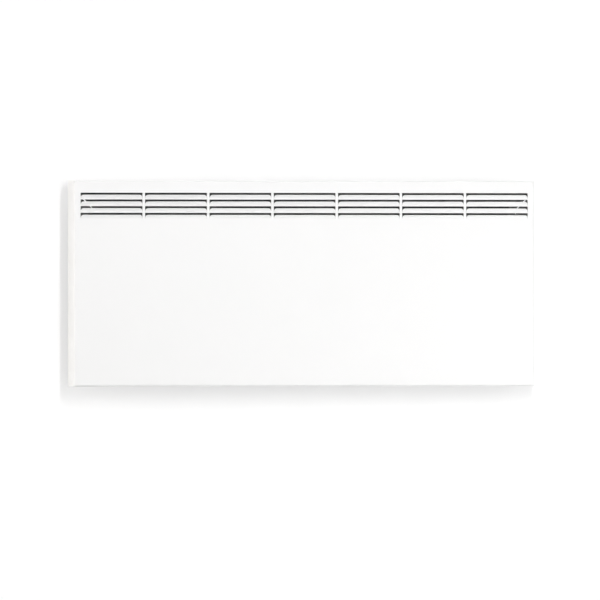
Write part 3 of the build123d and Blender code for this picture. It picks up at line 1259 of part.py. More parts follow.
with BuildPart() as plate_rivets:
    for x, z in hinge_rivet_spots() + keeper_rivet_spots():
        rivet(x, z, PLATE_REAR_Y + BRACKET_SHEET, PLATE_FRONT_Y)
    for x, z in guide_rivet_spots():
        rivet(x, z, PLATE_REAR_Y, PLATE_FRONT_Y - INNER_SHEET)
save(plate_rivets, "plate_rivets")

# ------------------------------------------------------------------ top latches
lip_y = PLATE_REAR_Y + KEEPER_REACH


# Z-shaped catches on the back plate. Each latch drops in front of one upturned lip.
with BuildPart() as keepers:
    for side in (-1, 1):
        width = (side * HANGER_X - KEEPER_HALF_WIDTH, side * HANGER_X + KEEPER_HALF_WIDTH)
        block(width, rivet_base_y, (KEEPER_RIVET_Z - RIVET_EDGE, KEEPER_Z))
        block(width, (PLATE_REAR_Y, lip_y), (KEEPER_Z - BRACKET_SHEET, KEEPER_Z))
        block(width, (lip_y - BRACKET_SHEET, lip_y), (KEEPER_Z, KEEPER_Z + KEEPER_LIP))
    for x, z in keeper_rivet_spots():
        bore((x, rivet_base_y[0], z), (x, rivet_base_y[1], z), RIVET_RADIUS + PRESS_GAP)
save(keepers, "keepers")

LATCH_REAR_Y = WEB_FRONT_Y - SIDE_PLAY
LATCH_LEG_Y = (LATCH_REAR_Y - LATCH_LEG, LATCH_REAR_Y)
NOSE_REAR_Y = lip_y - BRACKET_SHEET - 0.5
nose_y = (NOSE_REAR_Y - LATCH_LEG, NOSE_REAR_Y)
nose_z = KEEPER_Z + KEEPER_LIP + LATCH_CLEAR
bridge_z = (CHANNEL_TOP, CHANNEL_TOP + LATCH_BRIDGE)
LATCH_TOP = CHANNEL_TOP + LATCH_RISE


def latch(side, name):
    """Sliding latch, drawn raised: its slot rides on the stud, its nose drops before the keeper's lip."""
    middle_x = side * HANGER_X
    half_width = CHANNEL_INNER - SIDE_PLAY
    width = (middle_x - half_width, middle_x + half_width)
    slot_half = LATCH_STUD_RADIUS + 0.1
    slot_z = (LATCH_STUD_Z - slot_half - SIDE_PLAY, LATCH_STUD_Z + slot_half + SIDE_PLAY + LATCH_TRAVEL)
    with BuildPart() as slider:
        block(width, LATCH_LEG_Y, (KEEPER_Z, LATCH_TOP))
        block(width, (nose_y[0], LATCH_LEG_Y[1]), bridge_z)
        block(width, nose_y, (nose_z, bridge_z[1]))
        thumb_y = (LATCH_LEG_Y[0] - LATCH_THUMB_REACH, LATCH_LEG_Y[1])
        block(width, thumb_y, (LATCH_TOP - LATCH_THUMB_HEIGHT, LATCH_TOP))
        fillet(slider.edges().filter_by(Axis.X).group_by(Axis.Z)[-1], 1)
        with BuildSketch(Plane.XZ.offset(-LATCH_REAR_Y)):
            with Locations((middle_x, (slot_z[0] + slot_z[1]) / 2)):
                SlotOverall(slot_z[1] - slot_z[0], 2 * slot_half, rotation=90)
        extrude(amount=LATCH_LEG, mode=Mode.SUBTRACT)
    save(slider, name)


latch(-1, "latch_left")
latch(1, "latch_right")

with BuildPart() as latch_studs:
    head_y = LATCH_LEG_Y[0] - SIDE_PLAY
    for side in (-1, 1):
        x = side * HANGER_X
        rod((x, 0, LATCH_STUD_Z), (x, head_y, LATCH_STUD_Z), LATCH_STUD_RADIUS)
        rod((x, head_y, LATCH_STUD_Z), (x, head_y - 2, LATCH_STUD_Z), LATCH_STUD_RADIUS + 2)
save(latch_studs, "latch_studs")
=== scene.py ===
# %% [markdown]
# # A white panel convector heater on a white wall
#
# The heater's sheets, element, controls and wiring arrive as fixed solids, one per piece. This lesson gives
# each of them its finish, forms the small things that a drawing leaves plain, such as screw recesses and
# dial marks, and then photographs the heater on a wall. Every length is in metres and every place is worked
# out from the solids.

import json
from math import cos, pi, radians, sin, sqrt, tan

import bmesh
import bpy
from mathutils import Matrix, Vector


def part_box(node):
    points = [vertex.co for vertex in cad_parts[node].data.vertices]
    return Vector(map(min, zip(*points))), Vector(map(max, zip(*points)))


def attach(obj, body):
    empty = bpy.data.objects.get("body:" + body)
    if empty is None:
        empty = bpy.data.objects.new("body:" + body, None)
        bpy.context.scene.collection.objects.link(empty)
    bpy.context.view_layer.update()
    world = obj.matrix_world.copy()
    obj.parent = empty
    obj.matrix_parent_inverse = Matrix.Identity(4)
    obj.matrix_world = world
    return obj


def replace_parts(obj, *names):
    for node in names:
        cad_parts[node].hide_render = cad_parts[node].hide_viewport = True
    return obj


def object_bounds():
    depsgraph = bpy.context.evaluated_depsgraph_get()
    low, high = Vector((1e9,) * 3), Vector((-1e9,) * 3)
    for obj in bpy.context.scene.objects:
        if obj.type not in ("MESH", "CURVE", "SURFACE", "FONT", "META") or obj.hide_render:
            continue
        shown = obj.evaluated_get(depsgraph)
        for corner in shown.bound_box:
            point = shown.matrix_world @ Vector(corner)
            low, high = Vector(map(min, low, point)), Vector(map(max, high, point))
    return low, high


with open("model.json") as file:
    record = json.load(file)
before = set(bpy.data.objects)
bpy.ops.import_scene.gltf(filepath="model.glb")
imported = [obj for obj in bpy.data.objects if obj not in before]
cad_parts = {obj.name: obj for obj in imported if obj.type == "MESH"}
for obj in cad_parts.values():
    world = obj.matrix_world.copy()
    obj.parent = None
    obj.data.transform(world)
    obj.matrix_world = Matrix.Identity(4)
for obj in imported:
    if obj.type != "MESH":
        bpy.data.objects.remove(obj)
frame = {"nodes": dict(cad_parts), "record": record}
nodes = frame["nodes"]
solid_low, solid_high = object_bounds()
MM = 0.001
print("solids:", len(nodes), "box in mm:", [round(size / MM, 1) for size in solid_high - solid_low])

# %% [markdown]
# ## The camera
#
# A flat panel shows its camera angle in only two places: the thin strip of side wall at its left, and the
# squareness of its corners. The strip is narrow, so the camera stands a little to the left. The front's
# edges stay parallel, so it stands far away behind a very long lens. A camera is placed by the one point
# that it looks at, a share of the picture left of and below the middle of the front.

# %% Camera
PICTURE = 600
VIEW_YAW = radians(10.5)
VIEW_PITCH = radians(0.0)
HALF_FIELD = radians(1.0)
FRONT_HEIGHT_PX = 205.7
FRONT_MIDDLE_PX = (304.65, 283.6)
SENSOR = 36.0

SHEET = 1.0 * MM

cover_low, cover_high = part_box("front_cover")
# The louvres stand proud of the front, so its plane is found from the spacers that stand on its inner face.
front_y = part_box("shield_spacers")[0].y - SHEET
case_height = cover_high.z - cover_low.z
pixel = case_height / FRONT_HEIGHT_PX
distance = PICTURE * pixel / 2 / tan(HALF_FIELD)
look = Vector((sin(VIEW_YAW) * cos(VIEW_PITCH), cos(VIEW_YAW) * cos(VIEW_PITCH), -sin(VIEW_PITCH)))
right = look.cross(Vector((0, 0, 1))).normalized()
up = right.cross(look)
aim = Vector((0, front_y, (cover_low.z + cover_high.z) / 2))
aim += right * (PICTURE / 2 - FRONT_MIDDLE_PX[0]) * pixel
aim -= up * (PICTURE / 2 - FRONT_MIDDLE_PX[1]) * pixel

camera_data = bpy.data.cameras.new("camera")
camera_data.sensor_width = SENSOR
camera_data.lens = SENSOR / 2 / tan(HALF_FIELD)
camera_data.clip_end = 3 * distance
camera = bpy.data.objects.new("camera", camera_data)
camera.location = aim - look * distance
camera.rotation_euler = look.to_track_quat("-Z", "Y").to_euler()
bpy.context.scene.collection.objects.link(camera)
bpy.context.scene.camera = camera
bpy.context.scene.view_settings.view_transform = "Standard"
print("front sheet's plane at y =", round(front_y / MM, 2), "mm, one pixel is", round(pixel / MM, 3), "mm")
print("camera at", [round(value, 2) for value in camera.location])

# %% [markdown]
# ## Writing shaders as sums
#
# A procedural finish is mostly arithmetic on noise. Wired by hand, each plus sign is a node and two links,
# and the idea drowns. Here a small class holds one output of a node, and its operators add the Math nodes,
# so that `1 - cloud * 0.5` reads as it is meant. Any other node comes from one method.


# %% Shader values and finishes
class Value:
    """One output of a shader node. Arithmetic on it adds Math nodes."""

    def __init__(self, finish, socket):
        self.finish = finish
        self.socket = socket

    def join(self, operation, first, second):
        return self.finish.add("ShaderNodeMath", {"operation": operation}, {0: first, 1: second})

    def __add__(self, other):
        return self.join("ADD", self, other)

    def __radd__(self, other):
        return self.join("ADD", other, self)

    def __sub__(self, other):
        return self.join("SUBTRACT", self, other)

    def __rsub__(self, other):
        return self.join("SUBTRACT", other, self)

    def __mul__(self, other):
        return self.join("MULTIPLY", self, other)

    def __rmul__(self, other):
        return self.join("MULTIPLY", other, self)


class Finish:
    """A material whose nodes are added one call at a time."""

    def __init__(self, name):
        self.material = bpy.data.materials.new(name)
        self.material.use_nodes = True
        self.tree = self.material.node_tree
        self.shader = self.tree.nodes["Principled BSDF"]
        self.output = self.tree.nodes["Material Output"]

    def feed(self, socket, value):
        """Links a value to a socket, or sets the socket to a number or a colour."""
        if isinstance(value, Value):
            self.tree.links.new(value.socket, socket)
        else:
            socket.default_value = value

    def add(self, kind, settings=None, inputs=None, output=0):
        """Adds a node: its type, its settings, then the values or links of its sockets."""
        node = self.tree.nodes.new(kind)
        for name, value in (settings or {}).items():
            if name == "stops":
                for element, (place, colour) in zip(node.color_ramp.elements, value):
                    element.position = place
                    element.color = colour
            else:
                setattr(node, name, value)
        for key, value in (inputs or {}).items():
            self.feed(node.inputs[key], value)
        return Value(self, node.outputs[output])

    def set(self, **sockets):
        """Sets the main shader's own sockets: base_color=... is its Base Color."""
        for name, value in sockets.items():
            title = " ".join(word.capitalize() for word in name.split("_"))
            self.feed(self.shader.inputs[title], value)

    def mix(self, factor, first, second):
        """Colour between two colours."""
        return self.add("ShaderNodeMix", {"data_type": "RGBA"}, {0: factor, 6: first, 7: second}, output=2)

    def place(self, stretch=(1, 1, 1)):
        """Where a point lies on the piece, in metres, with each axis stretched."""
        spot = self.add("ShaderNodeTexCoord", output="Object")
        return self.add("ShaderNodeVectorMath", {"operation": "MULTIPLY"}, {0: spot, 1: stretch})

    def noise(self, size, detail=2.0, stretch=(1, 1, 1)):
        """Cloudy noise from 0 to 1 whose clouds are about size metres across."""
        inputs = {"Vector": self.place(stretch), "Scale": 1 / size, "Detail": detail}
        return self.add("ShaderNodeTexNoise", None, inputs)

    def ahead(self, depth, blend):
        """1 where the surface lies in front of y = depth, falling to 0 over blend metres behind it."""
        y = self.add("ShaderNodeSeparateXYZ", None, {"Vector": self.place()}, output="Y")
        ends = {"Value": y, "From Min": depth, "From Max": depth + blend, "To Min": 1.0, "To Max": 0.0}
        return self.add("ShaderNodeMapRange", None, ends)

    def looks_to(self, centre):
        """1 on faces that look towards a point, 0 on faces that look away from it."""
        facing = self.add("ShaderNodeTexCoord", output="Normal")
        off = self.add("ShaderNodeVectorMath", {"operation": "SUBTRACT"}, {0: centre, 1: self.place()})
        product, pair = {"operation": "DOT_PRODUCT"}, {0: facing, 1: off}
        along = self.add("ShaderNodeVectorMath", product, pair, output="Value")
        return self.add("ShaderNodeMath", {"operation": "GREATER_THAN"}, {0: along, 1: 0.0})

    def bump(self, height, depth):
        """Relief of that many metres."""
        return self.add("ShaderNodeBump", None, {"Height": height, "Distance": depth, "Strength": 1.0})


def rgb(red, green, blue):
    """Colour with full alpha, from linear values."""
    return (red, green, blue, 1.0)


print("shader helpers ready")

# %% [markdown]
# ## The wall, the floor and the light
#
# The picture is high key: the wall burns out to white, and only the heater's own shadow stays on it, close
# to the left and bottom edges. On a plain diffuse wall that shadow is a broad mid grey. So for the camera
# alone the wall is a darker grey that gives light of its own, which no shadow takes away, and only the
# deepest part of the shadow survives. It is seen from the front only and lets light through from behind, so
# that the heater's back can be looked at as well. The floor looks like the wall but throws back less light:
# otherwise the front burns out to white, and the bottom edge and the shadow below it turn pale.

# %% Wall and floor
WALL_REACH = 4.0
FLOOR_DROP = 1.2
WALL_SLACK = 0.3 * MM
WALL_BOUNCE = 0.93
FLOOR_BOUNCE = 0.55
SEEN = 0.58
GLOW = 0.475


def backdrop_finish(name, bounce, seen_as, glow):
    """Matt one-sided surface that lights the heater as one grey and looks another grey to the camera."""
    finish = Finish(name)
    finish.tree.nodes.remove(finish.shader)
    path = "ShaderNodeLightPath"
    seen = finish.add(path, output="Is Camera Ray")
    # A ray that has come through the wall from behind goes through whatever else it meets of the stage.
    passed = finish.add(path, output="Transparent Depth")
    entered = finish.add("ShaderNodeMath", {"operation": "MINIMUM"}, {0: passed, 1: 1})
    behind = finish.add("ShaderNodeNewGeometry", output="Backfacing")
    mottle = finish.noise(50 * MM)
    grey = finish.mix(seen, rgb(bounce, bounce, bounce), rgb(seen_as, seen_as, seen_as))
    tint = finish.mix(mottle * 0.02, grey, rgb(1, 1, 1))
    matt = finish.add("ShaderNodeBsdfDiffuse", None, {"Color": tint})
    own_light = finish.add("ShaderNodeEmission", None, {"Color": rgb(1, 1, 1), "Strength": seen * glow})
    both = finish.add("ShaderNodeAddShader", None, {0: matt, 1: own_light})
    clear = finish.add("ShaderNodeBsdfTransparent")
    solid = (1 - behind) * (1 - entered)
    shown = finish.add("ShaderNodeMixShader", None, {0: solid, 1: clear, 2: both})
    finish.feed(finish.output.inputs["Surface"], shown)
    return finish.material


def backdrop(name, corners, material):
    """Flat stage piece through four corners, its front side where they run anticlockwise."""
    mesh = bpy.data.meshes.new(name)
    mesh.from_pydata(corners, [], [(0, 1, 2, 3)])
    mesh.materials.append(material)
    piece = bpy.data.objects.new(name, mesh)
    bpy.context.scene.collection.objects.link(piece)
    return piece


# Two faces in one plane render as torn patches, so the wall stands a hair behind the bracket.
wall_y = solid_high.y + WALL_SLACK
foot_left = (-WALL_REACH, wall_y, -FLOOR_DROP)
foot_right = (WALL_REACH, wall_y, -FLOOR_DROP)
wall_corners = [foot_left, foot_right, (WALL_REACH, wall_y, WALL_REACH), (-WALL_REACH, wall_y, WALL_REACH)]
near_y = -2 * WALL_REACH
near_edge = [(-WALL_REACH, near_y, -FLOOR_DROP), (WALL_REACH, near_y, -FLOOR_DROP)]
floor_corners = near_edge + [foot_right, foot_left]
wall_paint = backdrop_finish("wall_paint", WALL_BOUNCE, SEEN, GLOW)
floor_paint = backdrop_finish("floor_paint", FLOOR_BOUNCE, SEEN, GLOW)
backdrop("wall", wall_corners, wall_paint)
backdrop("floor", floor_corners, floor_paint)
print("wall and floor", 2 * WALL_REACH, "m wide")

# %% [markdown]
# A large soft sky, brighter overhead, gives about a third of the front's light. To the camera and in gloss
# it is plain white, whatever light it gives. Lamps do the rest. The key is a tall narrow panel, high up: its
# width sets how crisp the shadow's left edge is, and its height how softly the shadow ends below. Two fills
# at the right make the front brighter towards that side. A slightly warm kicker from the left lifts the side
# wall. A lamp overhead brightens the bend along the top edge. One more lamp stands behind, and is smaller
# than the case, so that nothing seen from the front catches it.

# %% Sky and lamps
SKY = 0.345
SKY_LIFT = 0.25
KICKER_TINT = (1, 0.955, 0.91)


def aimed_lamp(name, place, target, size, level, tint=(1, 1, 1)):
    """Area lamp that gives a white surface facing it, at its target, that brightness."""
    place, target = Vector(place), Vector(target)
    data = bpy.data.lights.new(name, "AREA")
    data.shape = "RECTANGLE"
    data.size, data.size_y = size
    data.color = tint
    data.energy = level * pi * pi * (target - place).length_squared
    lamp = bpy.data.objects.new(name, data)
    lamp.location = place
    lamp.rotation_euler = (target - place).to_track_quat("-Z", "Y").to_euler()
    lamp.visible_camera = False
    bpy.context.scene.collection.objects.link(lamp)
    print(name, "power", round(data.energy, 1), "W")


middle = Vector((0, front_y, 0))
plate_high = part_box("back_plate")[1]
# For each lamp: its place, the point it is aimed at, its width and height, and its level.
aimed_lamp("key", (-0.03, -3.1, 0.87), middle, (0.11, 1.4), 0.375)
aimed_lamp("right_fill", (1.3, -1.2, -0.1), middle, (0.8, 1.0), 0.185)
aimed_lamp("front_fill", (0.8, -1.6, -0.6), middle, (0.6, 0.6), 0.105)
aimed_lamp("kicker", (-3.2, -0.5, 0.2), (solid_low.x, front_y, 0), (1.0, 1.6), 0.43, KICKER_TINT)
aimed_lamp("overhead", (0, -0.5, 3.0), (0, front_y, solid_high.z), (2.0, 0.6), 0.13)
aimed_lamp("back_lamp", (0, 2.4, 0), (0, plate_high.y, 0), (0.7, 0.3), 0.4)

world = bpy.data.worlds.new("sky")
world.use_nodes = True
bpy.context.scene.world = world
sky = Finish("sky_values")
sky.tree = world.node_tree
path_node = "ShaderNodeLightPath"
straight = [sky.add(path_node, output=f"Is {kind} Ray") for kind in ("Camera", "Glossy", "Transmission")]
white_seen = straight[0] + straight[1] + straight[2]
direction = sky.add("ShaderNodeTexCoord", output="Generated")
level = sky.add("ShaderNodeSeparateXYZ", None, {"Vector": direction}, output="Z") * SKY_LIFT + SKY
sky.feed(world.node_tree.nodes["Background"].inputs["Strength"], white_seen * (1 - level) + level)
world.node_tree.nodes["Background"].inputs["Color"].default_value = rgb(1, 1, 1)
print("sky level", SKY, "and up to", SKY + SKY_LIFT, "overhead")

# %% [markdown]
# ## The white case
#
# Powder coat is sprayed on dry and baked. It never flows out quite flat: close up it has the orange peel of
# tiny rounded waves, one or two millimetres across, and a satin shine that varies a little. The colour
# itself is very even, so the relief carries the look. The case is bent from sheet that was coated white on
# one side and only primed grey on the other. That grey is painted dark: part priming coat, part painted shade
# for the dim inside seen through the louvres. Its inside is wherever the surface looks towards the middle of
# the case, behind the front sheet: the louvres lean out of that sheet, and some of their outer faces look
# down to the middle too.


# %% Powder coat
def powder_coat(name, primer_shade_towards=None):
    """White coat. Faces that look towards the given point carry dark grey: priming coat and painted shade."""
    finish = Finish(name)
    peel = finish.noise(1.6 * MM, 3.0)
    grain = finish.noise(0.35 * MM, 1.0)
    cloud = finish.noise(60 * MM, 3.0)
    colour = finish.mix(cloud, rgb(0.874, 0.874, 0.873), rgb(0.888, 0.888, 0.886))
    if primer_shade_towards is not None:
        # The dark grey inside is the priming coat and painted shade for the dim inside of the case.
        primer_and_shade = finish.mix(cloud, rgb(0.2, 0.2, 0.2), rgb(0.26, 0.26, 0.255))
        inside = finish.looks_to(primer_shade_towards) * (1 - finish.ahead(front_y + SHEET / 2, SHEET / 4))
        colour = finish.mix(inside, colour, primer_and_shade)
    finish.set(
        base_color=colour,
        roughness=0.36 + cloud * 0.08 + grain * 0.04,
        normal=finish.bump(peel + grain * 0.25, 0.035 * MM),
    )
    return finish.material


print("powder coat")

# %% [markdown]
# ## Bare metals
#
# The sheets inside and the wall bracket are galvanised: molten zinc freezes on steel in flat crystals, and
# each one tips the light its own way. Voronoi cells are that pattern, one grey and one roughness per cell.
# Screws and pins are electroplated instead, which is smooth with faint clouds.


# %% Zinc finishes
def galvanised(name, dark, light, roughness, highlight_front_y=None):
    """Zinc crystals between two tones. In front of the given y the zinc is painted pale and smoother: a
    painted highlight.
    """
    finish = Finish(name)
    cells = {"Vector": finish.place(), "Scale": 1 / (7 * MM), "Randomness": 1.0}
    crystal = finish.add("ShaderNodeTexVoronoi", None, cells, output="Color")
    grey = finish.add("ShaderNodeSeparateColor", None, {"Color": crystal})
    streak = finish.noise(2.5 * MM, 2.0, stretch=(0.25, 1, 1))
    colour = finish.mix(grey * 0.55 + streak * 0.45, dark, light)
    roughness = roughness + grey * 0.16
    if highlight_front_y is not None:
        # Painted highlight: the front edge is painted pale zinc, paler than the crystals, and made smoother.
        highlight_band = finish.ahead(highlight_front_y, SHEET / 2)
        colour = finish.mix(highlight_band, colour, rgb(0.82, 0.83, 0.84))
        roughness = roughness - highlight_band * 0.2
    finish.set(base_color=colour, metallic=1.0, roughness=roughness, normal=finish.bump(streak, 0.02 * MM))
    return finish.material


def zinc_plate(name):
    """Smooth plating with faint clouds and fine tool marks."""
    finish = Finish(name)
    cloud = finish.noise(3 * MM, 3.0)
    tool_mark = finish.noise(0.4 * MM, 2.0)
    finish.set(
        base_color=finish.mix(cloud, rgb(0.6, 0.61, 0.64), rgb(0.72, 0.72, 0.7)),
        metallic=1.0,
        roughness=0.24 + cloud * 0.16,
        normal=finish.bump(tool_mark, 0.01 * MM),
    )
    return finish.material


print("zinc finishes")

# %% [markdown]
# The other metals show how they were made and used. The heating rod's steel sheath tans in its first hours.
# Extruded aluminium carries long die lines, which are noise drawn out along the extrusion. Brass and copper
# dull slowly, in clouds, so one function makes both.


# %% Steel, aluminium, brass and copper finishes
def heated_steel(name):
    """The rod's sheath, tanned by its first hours of use."""
    finish = Finish(name)
    tan_band = finish.noise(45 * MM, 2.0, stretch=(1, 0.1, 0.1))
    scale = finish.noise(1.2 * MM, 4.0)
    finish.set(
        base_color=finish.mix(tan_band * 0.7 + scale * 0.3, rgb(0.2, 0.17, 0.14), rgb(0.42, 0.38, 0.33)),
        metallic=1.0,
        roughness=0.42 + scale * 0.2,
        normal=finish.bump(scale, 0.02 * MM),
    )
    return finish.material


def extruded_aluminium(name):
    """Pale metal with die lines along X, the way the element was pressed out."""
    finish = Finish(name)
    die_line = finish.noise(0.5 * MM, 3.0, stretch=(0.004, 1, 1))
    cloud = finish.noise(20 * MM, 2.0)
    finish.set(
        base_color=finish.mix(cloud, rgb(0.72, 0.73, 0.74), rgb(0.82, 0.83, 0.84)),
        metallic=1.0,
        roughness=0.3 + die_line * 0.2,
        normal=finish.bump(die_line, 0.02 * MM),
    )
    return finish.material


def warm_metal(name, bright, dull):
    """Brass or copper: bright where new, duller in clouds."""
    finish = Finish(name)
    tarnish = finish.noise(4 * MM, 4.0)
    scratch = finish.noise(0.3 * MM, 2.0)
    finish.set(
        base_color=finish.mix(tarnish, bright, dull),
        metallic=1.0,
        roughness=0.22 + tarnish * 0.2,
        normal=finish.bump(scratch, 0.008 * MM),
    )
    return finish.material


print("steel, aluminium, brass and copper finishes")

# %% [markdown]
# ## Plastics, rubber, ceramic and insulation
#
# Moulded plastic takes the fine spark-eroded grain of its mould. Rubber is darker and duller, with a dusty
# bloom. Steatite ceramic is pressed from powder: matt, slightly creamy, with specks. A lead's insulation is
# smooth plastic, so it shares the moulded finish.


# %% Plastic, rubber and ceramic finishes
def moulded(name, dark, light, roughness, grain_size=0.45 * MM, grain_depth=0.02 * MM):
    """Plastic or rubber between two close tones, with the grain of its mould."""
    finish = Finish(name)
    grain = finish.noise(grain_size, 2.0)
    cloud = finish.noise(15 * MM, 2.0)
    finish.set(
        base_color=finish.mix(cloud * 0.7 + grain * 0.3, dark, light),
        roughness=roughness - 0.05 + cloud * 0.1,
        normal=finish.bump(grain, grain_depth),
    )
    return finish.material


def pressed_ceramic(name):
    """Matt creamy ceramic with specks."""
    finish = Finish(name)
    speck = finish.noise(0.9 * MM, 4.0)
    finish.set(
        base_color=finish.mix(speck, rgb(0.74, 0.7, 0.62), rgb(0.86, 0.84, 0.79)),
        roughness=0.6 + speck * 0.15,
        normal=finish.bump(speck, 0.03 * MM),
    )
    return finish.material


print("plastic, rubber and ceramic finishes")

# %% [markdown]
# Two finishes carry a pattern with a direction. The earth lead is green with a yellow stripe, which lies
# wherever the surface looks to the right, so it needs no map of the wire's route. The indicator's lens has
# fine upright ribs that spread the glow, and a wave of bands gives both their relief and their tone.


# %% Striped and ribbed finishes
def striped_insulation(name):
    """Green with a yellow stripe where the surface looks towards +X."""
    finish = Finish(name)
    facing = finish.add("ShaderNodeNewGeometry", output="Normal")
    sideways = finish.add("ShaderNodeSeparateXYZ", None, {"Vector": facing})
    bands = {"stops": [(0.5, rgb(0, 0, 0)), (0.56, rgb(1, 1, 1))]}
    stripe = finish.add("ShaderNodeValToRGB", bands, {"Fac": sideways * 0.5 + 0.5})
    mark = finish.add("ShaderNodeSeparateColor", None, {"Color": stripe})
    skin = finish.noise(0.6 * MM, 2.0)
    finish.set(
        base_color=finish.mix(mark, rgb(0.05, 0.27, 0.07), rgb(0.72, 0.58, 0.05)),
        roughness=0.4 + skin * 0.15,
        normal=finish.bump(skin, 0.01 * MM),
    )
    return finish.material


def lamp_lens(name):
    """Red lens with fine ribs, one behind the other along Y."""
    finish = Finish(name)
    bands = {"wave_type": "BANDS", "bands_direction": "Y"}
    spacing = {"Vector": finish.place(), "Scale": 0.3 / MM}
    ribs = finish.add("ShaderNodeTexWave", bands, spacing, output="Fac")
    finish.set(
        base_color=finish.mix(ribs * 0.5, rgb(0.5, 0.02, 0.01), rgb(0.75, 0.06, 0.03)),
        roughness=0.14 + ribs * 0.06,
        normal=finish.bump(ribs, 0.06 * MM),
        coat_weight=0.6,
    )
    return finish.material


print("striped and ribbed finishes")

# %% [markdown]
# ## Painting the solids
#
# The record says which finish each piece has. One dictionary turns those names into materials, and a loop
# gives every solid its own. A second dictionary holds the few sheets that differ from their kind: inner
# sheets painted dark as painted shade, deflectors whose front edge carries a painted highlight, and the
# case, which is primed inside. A piece formed later asks the first dictionary.

# %% Give every solid its finish
finishes = {
    "white_powder_coat": powder_coat("white_powder_coat"),
    "white_plastic": moulded("white_plastic", rgb(0.76, 0.76, 0.74), rgb(0.82, 0.82, 0.8), 0.42),
    "black_plastic": moulded("black_plastic", rgb(0.02, 0.02, 0.022), rgb(0.04, 0.04, 0.043), 0.4),
    "grey_plastic": moulded("grey_plastic", rgb(0.33, 0.34, 0.35), rgb(0.4, 0.41, 0.42), 0.5),
    "galvanised_steel": galvanised("galvanised_steel", rgb(0.46, 0.475, 0.49), rgb(0.66, 0.675, 0.685), 0.36),
    "zinc_plated_steel": zinc_plate("zinc_plated_steel"),
    "rod_steel": heated_steel("rod_steel"),
    "aluminium": extruded_aluminium("aluminium"),
    "ceramic": pressed_ceramic("ceramic"),
    "brass": warm_metal("brass", rgb(0.75, 0.58, 0.28), rgb(0.52, 0.38, 0.17)),
    "copper": warm_metal("copper", rgb(0.8, 0.44, 0.3), rgb(0.5, 0.24, 0.14)),
    "rubber": moulded("rubber", rgb(0.022, 0.022, 0.022), rgb(0.06, 0.06, 0.06), 0.75, 0.8 * MM),
    "live_insulation": moulded("live_insulation", rgb(0.14, 0.06, 0.025), rgb(0.22, 0.1, 0.05), 0.4),
    "neutral_insulation": moulded("neutral_insulation", rgb(0.02, 0.08, 0.3), rgb(0.05, 0.15, 0.45), 0.4),
    "earth_insulation": striped_insulation("earth_insulation"),
    "lamp_red": lamp_lens("lamp_red"),
}
# The sheets round the element are painted dark grey zinc: painted shade for the dim inside seen through
# the louvres. A deflector's bent-over front edge is painted pale: a painted highlight.
PAINTED_SHADE_ZINC = (rgb(0.16, 0.16, 0.16), rgb(0.27, 0.265, 0.26), 0.5)
SHADED_INNER_SHEETS = ("air_guide", "heat_shield", "element_supports", "partition", "cutout_bracket")
shade_darkened_zinc = galvanised("shade_darkened_steel", *PAINTED_SHADE_ZINC)
highlit_edge_zinc = galvanised("highlit_edge_steel", *PAINTED_SHADE_ZINC, highlight_front_y=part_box("end_deflector_left")[0].y + SHEET / 2)
own_finish = dict.fromkeys(SHADED_INNER_SHEETS, shade_darkened_zinc)
own_finish.update(end_deflector_left=highlit_edge_zinc, end_deflector_right=highlit_edge_zinc)
case_coat = powder_coat("case_coat", primer_shade_towards=(cover_low + cover_high) / 2)
own_finish.update(front_cover=case_coat, back_plate=case_coat)
for part in frame["record"]["subparts"]:
    material = own_finish.get(part["node"], finishes[part["material_slot"]])
    for material_place in nodes[part["node"]].material_slots:
        material_place.material = material

# %% [markdown]
# ## Small turned pieces
#
# The solids give the places of the screws, rivets and pins: a node holds several copies, and each copy is
# one island of joined points in its mesh. Points that share a place are merged on a working copy first,
# because a solid's faces arrive unjoined.

# %% Islands
MERGE = 0.001 * MM


def islands(name):
    """Low and high corner of each separate solid in a node, in a fixed order."""
    shape = bmesh.new()
    shape.from_mesh(nodes[name].data)
    bmesh.ops.remove_doubles(shape, verts=shape.verts, dist=MERGE)
    waiting = set(shape.verts)
    boxes = []
    while waiting:
        island = [waiting.pop()]
        for vertex in island:
            for edge in vertex.link_edges:
                other = edge.other_vert(vertex)
                if other in waiting:
                    waiting.remove(other)
                    island.append(other)
        low = Vector([min(vertex.co[axis] for vertex in island) for axis in range(3)])
        high = Vector([max(vertex.co[axis] for vertex in island) for axis in range(3)])
        boxes.append((low, high))
    shape.free()
    return sorted(boxes, key=lambda box: [round(value, 5) for value in box[0]])


print(len(islands("case_screws")), "case screws to be made")

# %% [markdown]
# Such pieces are turned on a lathe or headed in a die, so one outline spun about an axis makes each of them.
# Smooth shading rounds the turned faces, and every edge that bends more than a set angle stays sharp.

# %% Turned shapes and pieces
SHARP_TURN = radians(35)


def turned(shape, profile, origin, axis, sides=28):
    """Adds a turned solid. Each point of its outline is a radius and a height along the axis."""
    across = axis.orthogonal().normalized()
    along = axis.cross(across)
    rings = []
    for radius, height in profile:
        count = sides if radius else 1
        turns = [2 * pi * index / sides for index in range(count)]
        spokes = [(across * cos(turn) + along * sin(turn)) * radius for turn in turns]
        rings.append([shape.verts.new(origin + axis * height + spoke) for spoke in spokes])
    for first, second in zip(rings, rings[1:]):
        for index in range(sides):
            after = index + 1
            corners = [first[index % len(first)], first[after % len(first)]]
            corners += [second[after % len(second)], second[index % len(second)]]
            shape.faces.new(list(dict.fromkeys(corners)))


def add_piece(name, shape, body, slot, finish=None):
    """Turns a finished shape into a piece that moves with a body and has a slot's finish, or the finish
    given.
    """
    bmesh.ops.recalc_face_normals(shape, faces=shape.faces)
    mesh = bpy.data.meshes.new(name)
    shape.to_mesh(mesh)
    shape.free()
    mesh.materials.append(finish or finishes[slot])
    mesh.shade_smooth()
    mesh.set_sharp_from_angle(angle=SHARP_TURN)
    piece = bpy.data.objects.new(name, mesh)
    bpy.context.scene.collection.objects.link(piece)
    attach(piece, body)
    print(name, "has", len(mesh.polygons), "faces")
    return piece


print("turning helpers ready")

